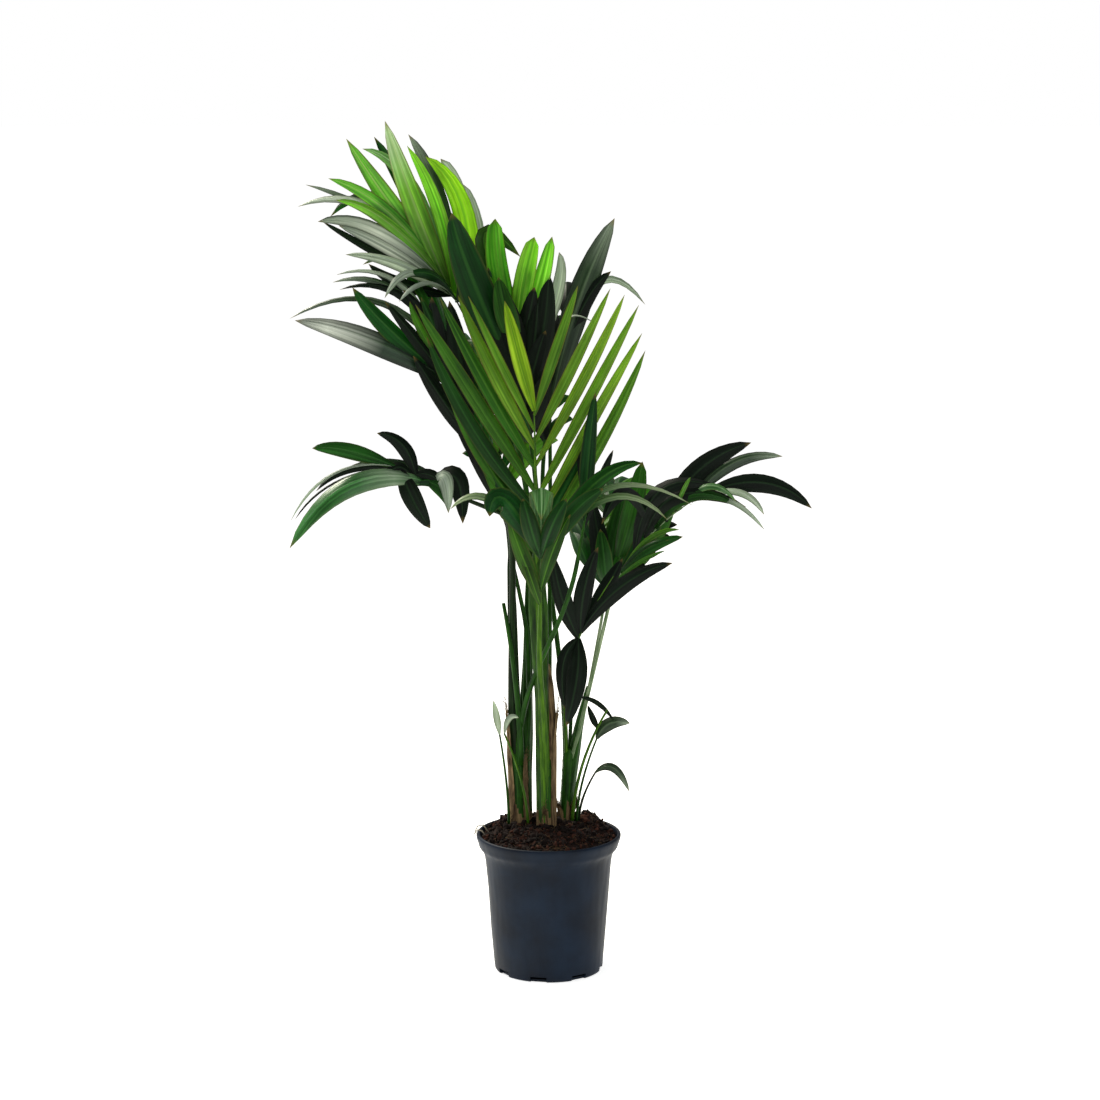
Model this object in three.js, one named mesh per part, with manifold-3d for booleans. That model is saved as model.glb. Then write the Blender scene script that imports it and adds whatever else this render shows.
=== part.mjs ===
// A potted kentia palm: three young palms that grow as one clump in a nursery pot.
// Millimetres, +Z up, +X to the right of the front view, -Y towards the front.
// The origin is the middle of the pot's flat underside.

import * as THREE from "three";
import { mergeVertices } from "three/addons/utils/BufferGeometryUtils.js";
import Module from "manifold-3d";

const wasm = await Module();
wasm.setup();

// Clearance between solids that touch on the real plant.
const GAP = 0.3;

// The pot: a blow-moulded 21 cm container with a flared lip and drain slots round its foot.
const RIM_RADIUS = 105;
const POT_HEIGHT = 203;
const FOOT_RADIUS = 79;
const SHOULDER_RADIUS = 91;
const SHOULDER_HEIGHT = 160;
const NECK_RADIUS = 95.5;
const NECK_HEIGHT = 182;
const LIP_WIDTH = 5;
const WALL = 2.4;
const FLOOR = 3.5;
const DRAIN_SLOTS = 8;
const DRAIN = { width: 21, depth: 9, height: 4.5 };
const POT_SEGMENTS = 48;
const FRONT_SLOT = -101; // degrees from +X to the slot nearest the front

// The peat: level with the lip at its edge, heaped up round the stems.
const SOIL_EDGE = 196;
const SOIL_TOP = 212;
const SOIL_PLATEAU = 62;
const HEAP_STEPS = 4;

// The three stems: where each stands and forks, its radius at the root flare and at the fork, and the ring
// of stalks that stands on the fork: the ring's radius and the stalks' own.
const FORK_HEIGHT = 300;
const PALMS = {
  left: { base: [-41, 32], fork: [-45, 27], flare: 15, neck: 12.4, ring: 7.8, stalk: 4.2 },
  middle: { base: [-3, 4], fork: [-5, 1], flare: 12, neck: 10, ring: 5.9, stalk: 3.8 },
  right: { base: [25, 42], fork: [30, 41], flare: 11.5, neck: 9.4, ring: 5.9, stalk: 3.2 },
};

// Stalks and blades.
const STALK_END = 2.8;
const RIB_HALF = 2.2;
const LEAF_HALF = 0.8;
const STALK_RISE = 0.4; // share of a stalk's reach over which it leaves its foot upright
const STALK_LEAD = 0.33; // and over which it comes into line with the rib
// The steps of a leaflet that carry the blade's points: along a leaflet, and in the notch between two tips.
const LEAFLET_STEPS = 24;
const LEAFLET_PLACES = [8, 16, 24];
const NOTCH_PLACES = [8, 14, 17];
const BEND_POWER = 1.5; // a leaflet's bend grows with this power of the way along it
const TUBE_SIDES = 6;
const STEM_SIDES = 16;
const STALK_STEPS = 9;
const SPROUT_STEPS = 6;

// Each frond: the palm it grows from and the seat on that palm's ring (degrees from +X towards +Y), the
// collar where its leaflets begin, the tip of its rib, how far the rib bows off the straight line between
// them, the way it faces, and its pairs of leaflets. length, spread from the rib, lift above it and sag
// under their own weight are given at the collar, half way and at the tip, in millimetres and degrees.
// wings scales the leaflets on the rib's left and on its right, looking the way the frond faces.
const FRONDS = {
  front_tall: {
    palm: "middle", seat: 190, collar: [-16, -46, 610], tip: [-20, -94, 835], bow: 8, facing: -90,
    pairs: 9, length: [310, 295, 170], spread: [28, 31, 20], lift: [14, 19, 24], sag: [4, 4, 3],
    wings: [1, 1],
  },
  front_low: {
    palm: "middle", seat: 280, collar: [-13, -66, 492], tip: [-10, -127, 645], bow: 10, facing: -90,
    pairs: 5, length: [175, 185, 130], spread: [24, 21, 16], lift: [-30, -30, -30], sag: [55, 65, 70],
    wings: [1, 1],
  },
  left_arch: {
    palm: "left", seat: 346, collar: [-58, 16, 650], tip: [-155, 10, 910], bow: 10, facing: 140,
    pairs: 9, length: [80, 200, 245], spread: [17, 17, 12], lift: [10, 10, 10], sag: [35, 65, 85],
    wings: [1, 1],
  },
  top_left: {
    palm: "left", seat: 58, collar: [-55, 70, 790], tip: [-155, 60, 1010], bow: 20, facing: 140,
    pairs: 9, length: [215, 255, 268], spread: [37, 32, 14], lift: [5, 5, 5], sag: [50, 45, 20],
    wings: [0.9, 0.95],
  },
  top_middle: {
    palm: "middle", seat: 100, collar: [-25, 28, 770], tip: [-45, 12, 935], bow: 6, facing: 90,
    pairs: 5, length: [180, 190, 150], spread: [26, 22, 13], lift: [15, 12, 10], sag: [8, 7, 5],
    wings: [1, 1],
  },
  top_right: {
    palm: "right", seat: 150, collar: [-5, 84, 765], tip: [30, 104, 940], bow: 14, facing: 60,
    pairs: 6, length: [160, 180, 150], spread: [26, 24, 14], lift: [15, 12, 10], sag: [45, 55, 55],
    wings: [0.42, 1],
  },
  low_left: {
    palm: "left", seat: 202, collar: [-72, -22, 645], tip: [-215, -60, 748], bow: 45, facing: 200,
    pairs: 6, length: [105, 185, 190], spread: [60, 48, 16], lift: [10, 10, 10], sag: [100, 95, 95],
    wings: [0.94, 1],
  },
  low_right: {
    palm: "right", seat: 294, collar: [95, 20, 570], tip: [222, 0, 700], bow: 26, facing: -30,
    pairs: 8, length: [120, 180, 205], spread: [46, 38, 18], lift: [10, 10, 10], sag: [70, 65, 70],
    wings: [0.55, 0.85],
  },
  small_right: {
    palm: "right", seat: 222, collar: [40, -25, 490], tip: [92, -48, 590], bow: 10, facing: -75,
    pairs: 5, length: [60, 105, 110], spread: [44, 38, 18], lift: [0, 0, 0], sag: [70, 60, 50],
    wings: [1, 0.5],
  },
  mid_right: {
    palm: "right", seat: 6, collar: [85, 90, 550], tip: [138, 130, 645], bow: 10, facing: 60,
    pairs: 6, length: [130, 160, 135], spread: [38, 34, 18], lift: [10, 5, 0], sag: [40, 40, 50],
    wings: [1, 0.5],
  },
  slim: {
    palm: "left", seat: 274, collar: [40, -82, 615], tip: [58, -88, 715], bow: 5, facing: -90,
    pairs: 3, length: [95, 95, 105], spread: [22, 20, 12], lift: [0, 0, 0], sag: [15, 15, 10],
    wings: [1, 1],
  },
  back_left: {
    palm: "left", seat: 130, collar: [-62, 100, 690], tip: [-110, 190, 850], bow: 20, facing: 125,
    pairs: 7, length: [150, 180, 170], spread: [32, 30, 14], lift: [10, 5, 0], sag: [60, 60, 60],
    wings: [1, 0.8],
  },
  back: {
    palm: "middle", seat: 10, collar: [5, 95, 770], tip: [15, 220, 935], bow: 25, facing: 85,
    pairs: 7, length: [150, 170, 160], spread: [34, 30, 14], lift: [10, 5, 0], sag: [60, 60, 60],
    wings: [1, 1],
  },
  back_right: {
    palm: "right", seat: 78, collar: [60, 130, 570], tip: [105, 240, 670], bow: 25, facing: 55,
    pairs: 6, length: [130, 150, 150], spread: [42, 38, 14], lift: [10, 5, 0], sag: [60, 60, 60],
    wings: [1, 1],
  },
};

// Small leaves on thin stalks of their own at the stems' feet: where each stands, the top of its stalk, and
// the leaf's arch and tip.
const SPROUT_STALK = { foot: 2.2, end: 1.4 };
const SPROUT_SEAT = 1; // from the middle of the stalk's slanted end to the leaf
const SPROUTS = {
  left: { foot: [-58, 18], end: [-71, 14, 345], over: [-75, 13, 375], tip: [-83, 12, 398], width: 11 },
  crossing: { foot: [-30, 8], end: [-64, 0, 350], over: [-60, -2, 380], tip: [-43, -4, 372], width: 9 },
  right: { foot: [41, 27], end: [70, 20, 338], over: [84, 14, 370], tip: [118, 14, 362], width: 20 },
  low: { foot: [44, 34], end: [68, 10, 290], over: [88, 4, 316], tip: [116, -2, 264], width: 15 },
};

const COLOURS = {
  pot: 0x2a2f38,
  soil: 0x2b1c15,
  stem: 0x4a5a24,
  stalk: 0x3f6b1e,
  blade: 0x2c5a1a,
  sprout: 0x35601f,
};

const UP = new THREE.Vector3(0, 0, 1);
const vec = (p) => new THREE.Vector3(...p);
const radians = THREE.MathUtils.degToRad;

// A smooth value through the three given at the collar, half way and at the tip.
function along([collar, middle, tip], t) {
  return collar * (1 - t) * (1 - 2 * t) + 4 * middle * t * (1 - t) + tip * t * (2 * t - 1);
}

function named(name, geometry, colour, roughness) {
  const material = new THREE.MeshStandardMaterial({ color: colour, roughness, metalness: 0 });
  const mesh = new THREE.Mesh(geometry, material);
  mesh.name = name;
  return mesh;
}

// A closed solid turned from a profile of [radius, height] that starts and ends on the Z axis.
function turned(profile, segments) {
  const points = profile.map(([radius, height]) => new THREE.Vector2(radius, height));
  return new THREE.LatheGeometry(points, segments).rotateX(Math.PI / 2);
}

// A closed mesh from a grid of points: rows of front points, with the matching back points behind them.
function closedGrid(front, back) {
  const rows = front.length;
  const columns = front[0].length;
  const layer = rows * columns;
  const at = (i, j) => i * columns + j;
  const index = [];
  const quad = (a, b, c, d) => index.push(a, b, c, a, c, d);
  for (let i = 0; i < rows - 1; i++) {
    for (let j = 0; j < columns - 1; j++) {
      const [a, b, c, d] = [at(i, j), at(i, j + 1), at(i + 1, j + 1), at(i + 1, j)];
      quad(a, b, c, d);
      quad(a + layer, d + layer, c + layer, b + layer);
    }
  }
  const edge = [];
  for (let j = 0; j < columns - 1; j++) edge.push(at(0, j));
  for (let i = 0; i < rows - 1; i++) edge.push(at(i, columns - 1));
  for (let j = columns - 1; j > 0; j--) edge.push(at(rows - 1, j));
  for (let i = rows - 1; i > 0; i--) edge.push(at(i, 0));
  edge.forEach((k, n) => {
    const next = edge[(n + 1) % edge.length];
    quad(k, k + layer, next + layer, next);
  });
  const geometry = new THREE.BufferGeometry().setFromPoints([...front.flat(), ...back.flat()]);
  return geometry.setIndex(index);
}

// A closed tube through rings of points, with flat ends. Each ring has a centre, two axes and a radius.
function tube(rings, sides = TUBE_SIDES) {
  const points = [];
  const index = [];
  for (const { centre, u, v, radius } of rings) {
    for (let k = 0; k < sides; k++) {
      const turn = (2 * Math.PI * k) / sides;
      const point = centre.clone().addScaledVector(u, radius * Math.cos(turn));
      points.push(point.addScaledVector(v, radius * Math.sin(turn)));
    }
  }
  const last = (rings.length - 1) * sides;
  for (let k = 0; k < last; k += sides) {
    for (let n = 0; n < sides; n++) {
      const a = k + n;
      const b = k + ((n + 1) % sides);
      index.push(a, b, b + sides, a, b + sides, a + sides);
    }
  }
  for (let n = 1; n < sides - 1; n++) index.push(0, n + 1, n, last, last + n, last + n + 1);
  return new THREE.BufferGeometry().setFromPoints(points).setIndex(index);
}

// A tapering limb along a curve.
function limb(curve, foot, end, steps) {
  const { normals, binormals } = curve.computeFrenetFrames(steps, false);
  const rings = normals.map((u, i) => {
    const radius = THREE.MathUtils.lerp(foot, end, i / steps);
    return { centre: curve.getPointAt(i / steps), u, v: binormals[i], radius };
  });
  return tube(rings);
}

// A geometry as a solid that can be cut, and a solid as a geometry.
function solidOf(geometry) {
  const bare = geometry.clone();
  bare.deleteAttribute("normal");
  bare.deleteAttribute("uv");
  const merged = mergeVertices(bare, 1e-3);
  return new wasm.Manifold(
    new wasm.Mesh({
      numProp: 3,
      vertProperties: merged.attributes.position.array,
      triVerts: new Uint32Array(merged.index.array),
    }),
  );
}

function geometryOf(solid) {
  const { vertProperties, triVerts } = solid.getMesh();
  return new THREE.BufferGeometry()
    .setAttribute("position", new THREE.BufferAttribute(vertProperties, 3))
    .setIndex(new THREE.BufferAttribute(triVerts, 1));
}

// The pot's profile as [radius, height]: up its outside over the flared lip, then down its inside.
const POT_OUTSIDE = [
  [FOOT_RADIUS - 4, 0],
  [FOOT_RADIUS - 1, 1.5],
  [FOOT_RADIUS, 5],
  [SHOULDER_RADIUS - 1, SHOULDER_HEIGHT - 2],
  [SHOULDER_RADIUS + 1.5, SHOULDER_HEIGHT + 10],
  [NECK_RADIUS, NECK_HEIGHT],
  [RIM_RADIUS - 2, POT_HEIGHT - 9],
  [RIM_RADIUS, POT_HEIGHT - 5],
  [RIM_RADIUS, POT_HEIGHT - 2],
  [RIM_RADIUS - 2, POT_HEIGHT],
];
const MOUTH = [RIM_RADIUS - LIP_WIDTH - 1.5, POT_HEIGHT - 3];
const POT_INSIDE = [
  [RIM_RADIUS - LIP_WIDTH, POT_HEIGHT],
  MOUTH,
  [NECK_RADIUS - WALL, NECK_HEIGHT],
  [SHOULDER_RADIUS - WALL, SHOULDER_HEIGHT],
  [FOOT_RADIUS - WALL, FLOOR + 3],
  [FOOT_RADIUS - WALL - 3, FLOOR],
];

function pot() {
  const cup = turned([[0, 0], ...POT_OUTSIDE, ...POT_INSIDE, [0, FLOOR]], POT_SEGMENTS);
  let solid = solidOf(cup);
  for (let k = 0; k < DRAIN_SLOTS; k++) {
    const slot = new THREE.BoxGeometry(DRAIN.depth, DRAIN.width, 2 * DRAIN.height);
    slot.translate(FOOT_RADIUS, 0, 0);
    slot.rotateZ(radians(FRONT_SLOT + (360 * k) / DRAIN_SLOTS));
    solid = solid.subtract(solidOf(slot));
  }
  return named("pot", geometryOf(solid), COLOURS.pot, 0.55);
}

// The peat fills the pot up to a low heap whose middle is flat, where the stems stand.
function soil() {
  const profile = [[0, FLOOR + GAP]];
  for (const [radius, height] of POT_INSIDE.toReversed()) {
    if (height < SOIL_EDGE) profile.push([radius - GAP, Math.max(height, FLOOR + GAP)]);
  }
  const { mapLinear, lerp } = THREE.MathUtils;
  const edge = mapLinear(SOIL_EDGE, NECK_HEIGHT, MOUTH[1], NECK_RADIUS - WALL, MOUTH[0]) - GAP;
  profile.push([edge, SOIL_EDGE]);
  for (let k = 1; k <= HEAP_STEPS; k++) {
    const share = k / HEAP_STEPS;
    const height = lerp(SOIL_EDGE, SOIL_TOP, Math.sin((share * Math.PI) / 2));
    profile.push([lerp(edge, SOIL_PLATEAU, share), height]);
  }
  profile.push([0, SOIL_TOP]);
  return named("soil", turned(profile, POT_SEGMENTS), COLOURS.soil, 0.95);
}

// A stem from its flat cut at ground level, flared at the root, to the level fork where the stalks part.
function stem(name, { base, fork, flare, neck }) {
  const foot = vec([...base, SOIL_TOP + GAP]);
  const top = vec([...fork, FORK_HEIGHT - GAP]);
  const u = new THREE.Vector3(1, 0, 0);
  const v = new THREE.Vector3(0, 1, 0);
  const rings = [0, 0.08, 0.25, 0.6, 1].map((share) => ({
    centre: foot.clone().lerp(top, share),
    u,
    v,
    radius: THREE.MathUtils.lerp(flare, neck, Math.sqrt(share)),
  }));
  return named(`stem_${name}`, tube(rings, STEM_SIDES), COLOURS.stem, 0.8);
}

// The lines of one frond: its stalk, its rib, and the leaflet that would grow at any place on the rib.
function frondLines({ foot, collar, tip, bow, facing, length, spread, lift, sag, wings }) {
  const start = vec(collar);
  const end = vec(tip);
  const turn = radians(facing);
  const across = new THREE.Vector3(Math.sin(turn), -Math.cos(turn), 0);
  const square = (tangent) => across.clone().addScaledVector(tangent, -across.dot(tangent)).normalize();
  const chord = end.clone().sub(start).normalize();
  const control = start
    .clone()
    .lerp(end, 0.5)
    .addScaledVector(new THREE.Vector3().crossVectors(square(chord), chord), bow);
  const rib = new THREE.QuadraticBezierCurve3(start, control, end);
  const ribStart = control.clone().sub(start).normalize();
  const root = vec(foot);
  const reach = root.distanceTo(start);
  const stalk = new THREE.CubicBezierCurve3(
    root,
    root.clone().addScaledVector(UP, reach * STALK_RISE),
    start.clone().addScaledVector(ribStart, -reach * STALK_LEAD),
    start.clone().addScaledVector(ribStart, -GAP),
  );

  // Points and upper-side normals at the given steps of a leaflet, which leaves the rib straight and bends
  // over with its own weight.
  function leaflet(t, hand, places) {
    const tangent = rib.getTangent(t);
    const side = square(tangent);
    const back = new THREE.Vector3().crossVectors(side, tangent);
    const out = radians(along(spread, t));
    const up = radians(along(lift, t));
    const heading = tangent
      .clone()
      .multiplyScalar(Math.cos(out))
      .addScaledVector(side, Math.sin(out) * Math.cos(up) * hand)
      .addScaledVector(back, Math.sin(out) * Math.sin(up));
    const upper = back.clone().addScaledVector(heading, -back.dot(heading)).normalize();
    const hinge = new THREE.Vector3().crossVectors(heading, UP).negate().normalize();
    const plumb = heading.angleTo(UP.clone().negate());
    const fall = Math.min(radians(along(sag, t)), 0.97 * plumb);
    const bent = (vector, share) => vector.clone().applyAxisAngle(hinge, fall * share ** BEND_POWER);
    const step = (along(length, t) * (hand < 0 ? wings[0] : wings[1])) / LEAFLET_STEPS;
    const stops = [];
    const place = rib.getPoint(t);
    for (let k = 0; k <= LEAFLET_STEPS; k++) {
      if (places.includes(k)) stops.push({ point: place.clone(), normal: bent(upper, k / LEAFLET_STEPS) });
      place.addScaledVector(bent(heading, (k + 0.5) / LEAFLET_STEPS), step);
    }
    return stops;
  }
  return { rib, stalk, leaflet, square };
}

// A frond's blade: a thin closed sheet over all its leaflets, thicker along the rib, notched between tips.
function blade(frond) {
  const { rib, leaflet, square } = frondLines(frond);
  const rows = 2 * frond.pairs - 1;
  const front = [];
  const back = [];
  for (let i = 0; i < rows; i++) {
    const t = i / (rows - 1);
    const places = i % 2 ? NOTCH_PLACES : LEAFLET_PLACES;
    const tangent = rib.getTangent(t);
    const normal = new THREE.Vector3().crossVectors(square(tangent), tangent);
    const middle = { point: rib.getPoint(t), normal, half: RIB_HALF };
    const wing = (hand) => leaflet(t, hand, places).map((stop) => ({ ...stop, half: LEAF_HALF }));
    const row = [...wing(-1).reverse(), middle, ...wing(1)];
    front.push(row.map((stop) => stop.point.clone().addScaledVector(stop.normal, stop.half)));
    back.push(row.map((stop) => stop.point.clone().addScaledVector(stop.normal, -stop.half)));
  }
  return closedGrid(front, back);
}

const stalk = (frond) => limb(frondLines(frond).stalk, PALMS[frond.palm].stalk, STALK_END, STALK_STEPS);

// A sprout's stalk, upright at the soil.
function sproutStalk({ foot, end }) {
  const root = vec([...foot, SOIL_TOP + GAP]);
  const bend = vec([...foot, THREE.MathUtils.lerp(SOIL_TOP, end[2], 0.4)]);
  const curve = new THREE.QuadraticBezierCurve3(root, bend, vec(end));
  return limb(curve, SPROUT_STALK.foot, SPROUT_STALK.end, SPROUT_STEPS);
}

// A sprout's leaf: a thin closed blade, folded along its midrib, that arches over from its stalk.
function sproutLeaf({ end, over, tip, width }) {
  const heading = vec(over).sub(vec(end)).normalize();
  const start = vec(end).addScaledVector(heading, SPROUT_SEAT);
  const curve = new THREE.QuadraticBezierCurve3(start, vec(over), vec(tip));
  const front = [];
  const back = [];
  for (let i = 0; i <= SPROUT_STEPS; i++) {
    const t = i / SPROUT_STEPS;
    const tangent = curve.getTangent(t);
    const side = new THREE.Vector3(0, -1, 0).addScaledVector(tangent, tangent.y).normalize();
    const upper = new THREE.Vector3().crossVectors(side, tangent);
    const half = Math.max((width / 2) * Math.sin(Math.PI * t ** 0.8), LEAF_HALF);
    const row = [-1, 0, 1].map((hand) => {
      const fold = 0.35 * half * Math.abs(hand);
      return curve.getPoint(t).addScaledVector(side, half * hand).addScaledVector(upper, fold);
    });
    front.push(row.map((point) => point.clone().addScaledVector(upper, LEAF_HALF)));
    back.push(row.map((point) => point.clone().addScaledVector(upper, -LEAF_HALF)));
  }
  return closedGrid(front, back);
}

const plant = new THREE.Group();
plant.add(pot(), soil());
for (const [name, palm] of Object.entries(PALMS)) plant.add(stem(name, palm));
for (const [name, frond] of Object.entries(FRONDS)) {
  const { fork, ring } = PALMS[frond.palm];
  const seat = radians(frond.seat);
  const foot = [fork[0] + ring * Math.cos(seat), fork[1] + ring * Math.sin(seat), FORK_HEIGHT];
  plant.add(named(`stalk_${name}`, stalk({ ...frond, foot }), COLOURS.stalk, 0.6));
  plant.add(named(`blade_${name}`, blade({ ...frond, foot }), COLOURS.blade, 0.5));
}
for (const [name, sprout] of Object.entries(SPROUTS)) {
  plant.add(named(`sprout_stalk_${name}`, sproutStalk(sprout), COLOURS.sprout, 0.6));
  plant.add(named(`sprout_leaf_${name}`, sproutLeaf(sprout), COLOURS.sprout, 0.5));
}

export default plant;
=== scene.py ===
"""A potted kentia palm: three young palms in a nursery pot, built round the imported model.

Metres, +Z up, +X to the right of the front view and -Y towards it. Sizes written in millimetres are
turned to metres where a mesh is made.
"""

import math
from functools import partial

import bpy
import numpy as np
from mathutils import Matrix, Vector, noise


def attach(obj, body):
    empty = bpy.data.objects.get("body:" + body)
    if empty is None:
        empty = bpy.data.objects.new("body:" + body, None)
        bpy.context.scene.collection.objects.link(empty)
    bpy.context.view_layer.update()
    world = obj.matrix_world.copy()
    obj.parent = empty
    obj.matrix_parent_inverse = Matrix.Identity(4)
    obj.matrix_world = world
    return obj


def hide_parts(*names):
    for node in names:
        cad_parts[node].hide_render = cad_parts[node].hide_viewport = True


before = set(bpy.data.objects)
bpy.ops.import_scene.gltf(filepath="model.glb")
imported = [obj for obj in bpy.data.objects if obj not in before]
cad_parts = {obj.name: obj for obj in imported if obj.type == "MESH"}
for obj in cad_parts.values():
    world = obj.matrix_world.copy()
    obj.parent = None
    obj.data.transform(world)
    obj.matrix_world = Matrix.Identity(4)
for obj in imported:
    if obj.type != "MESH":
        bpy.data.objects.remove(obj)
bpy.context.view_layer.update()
MM = 0.001
UP = np.array((0.0, 0.0, 1.0))
FRONT = np.array((0.0, -1.0, 0.0))

# ---------------------------------------------------------------- colours, nodes and materials


def linear(colour, alpha=1.0):
    """An sRGB hex colour as the linear values that nodes take."""
    channels = [int(colour[i : i + 2], 16) / 255 for i in (1, 3, 5)]
    return [c / 12.92 if c <= 0.04045 else ((c + 0.055) / 1.055) ** 2.4 for c in channels] + [alpha]


def add(tree, kind, inputs=None, stops=None, **settings):
    """Adds a node with its settings. An input takes a value, a hex colour, a node or a node's output."""
    node = tree.nodes.new("ShaderNode" + kind)
    for name, value in settings.items():
        setattr(node, name, value)
    if stops:
        for element, (place, colour) in zip(node.color_ramp.elements, stops):
            element.position = place
            element.color = linear(colour)
    for name, value in (inputs or {}).items():
        if isinstance(value, bpy.types.Node):
            value = next(socket for socket in value.outputs if socket.enabled)
        if isinstance(value, bpy.types.NodeSocket):
            tree.links.new(value, node.inputs[name])
        else:
            node.inputs[name].default_value = linear(value) if isinstance(value, str) else value
    return node


def blank_finish(name):
    """A new material, and add as it works on its own empty node tree."""
    material = bpy.data.materials.new(name)
    material.use_nodes = True
    material.node_tree.nodes.clear()
    return material, partial(add, material.node_tree)


def blown_plastic():
    """Blow-moulded recycled polyethylene: charcoal with a blue cast, a satin skin with faint orange peel
    and drawn streaks, cloudy, and scuffed paler where it was handled."""
    material, put = blank_finish("blown_plastic")
    place = put("TexCoord").outputs["Object"]
    clouds = put("TexNoise", {"Vector": place, "Scale": 1 / (60 * MM), "Detail": 3.0})
    streaks_at = put("Mapping", {"Vector": place, "Scale": (1.0, 1.0, 0.12)})
    streaks = put("TexNoise", {"Vector": streaks_at, "Scale": 1 / (9 * MM), "Detail": 2.0})
    peel = put("TexNoise", {"Vector": place, "Scale": 1 / (1.6 * MM), "Detail": 2.0})
    scuffs = put("TexNoise", {"Vector": place, "Scale": 1 / (22 * MM), "Detail": 6.0, "Roughness": 0.7})
    tint = put("ValToRGB", {0: clouds}, stops=[(0.3, "#0a111b"), (0.7, "#122030")])
    worn = put("ValToRGB", {0: scuffs}, stops=[(0.60, "#000000"), (0.78, "#3a3a3a")])
    body = put("Mix", {0: worn, 6: tint, 7: "#232b38"}, data_type="RGBA")
    rough = put("MapRange", {0: streaks, 1: 0.2, 2: 0.8, 3: 0.42, 4: 0.58})
    bump = put("Bump", {"Height": peel, "Strength": 0.12, "Distance": 0.3 * MM})
    wave = put("Bump", {"Height": clouds, "Strength": 0.35, "Distance": 1.2 * MM, "Normal": bump})
    skin = put("BsdfPrincipled", {"Base Color": body, "Roughness": rough,
                                  "IOR": 1.5, "Specular IOR Level": 0.12, "Normal": wave})
    put("OutputMaterial", {0: skin})
    return material


def peat(name, dark, light):
    """Milled peat with bark fines: dull crumbs, almost black where damp and rust brown where dry."""
    material, put = blank_finish(name)
    place = put("TexCoord").outputs["Object"]
    damp = put("TexNoise", {"Vector": place, "Scale": 1 / (30 * MM), "Detail": 4.0})
    grain = put("TexNoise", {"Vector": place, "Scale": 1 / (1.8 * MM), "Detail": 4.0})
    mixed = put("Math", {0: damp, 1: grain}, operation="MULTIPLY")
    tint = put("ValToRGB", {0: mixed}, stops=[(0.14, dark), (0.38, light)])
    bump = put("Bump", {"Height": grain, "Strength": 0.8, "Distance": 0.8 * MM})
    crumb = put("BsdfPrincipled", {"Base Color": tint, "Roughness": 0.93, "Specular IOR Level": 0.2,
                                   "Normal": bump})
    put("OutputMaterial", {0: crumb})
    return material


def rind(name, low, high, gloss, streak_mm=1.6, ridge=0.25):
    """Palm stalk and stem skin: fibres run along it, so it is streaked lengthwise under a waxy sheen."""
    material, put = blank_finish(name)
    place = put("TexCoord").outputs["UV"]
    drawn = put("Mapping", {"Vector": place, "Scale": (1 / (streak_mm * MM), 1 / (60 * MM), 1.0)})
    fibre = put("TexNoise", {"Vector": drawn, "Scale": 1.0, "Detail": 3.0})
    blotch_at = put("Mapping", {"Vector": place, "Scale": (1 / (8 * MM), 1 / (35 * MM), 1.0)})
    blotch = put("TexNoise", {"Vector": blotch_at, "Scale": 1.0, "Detail": 3.0})
    both = put("Math", {0: fibre, 1: blotch}, operation="MULTIPLY")
    tint = put("ValToRGB", {0: both}, stops=[(0.14, low), (0.38, high)])
    bump = put("Bump", {"Height": fibre, "Strength": ridge, "Distance": 0.5 * MM})
    skin = put("BsdfPrincipled", {"Base Color": tint, "Roughness": gloss,
                                  "IOR": 1.45, "Specular IOR Level": 0.14, "Normal": bump})
    put("OutputMaterial", {0: skin})
    return material


PLEATS_ACROSS = 3.6  # how often a leaflet's pleats come round over half its width
NO_PAINTED_GLARE = ("#ffffff", 2.0, 3.0, 4.0)  # all of it past the tip


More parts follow.
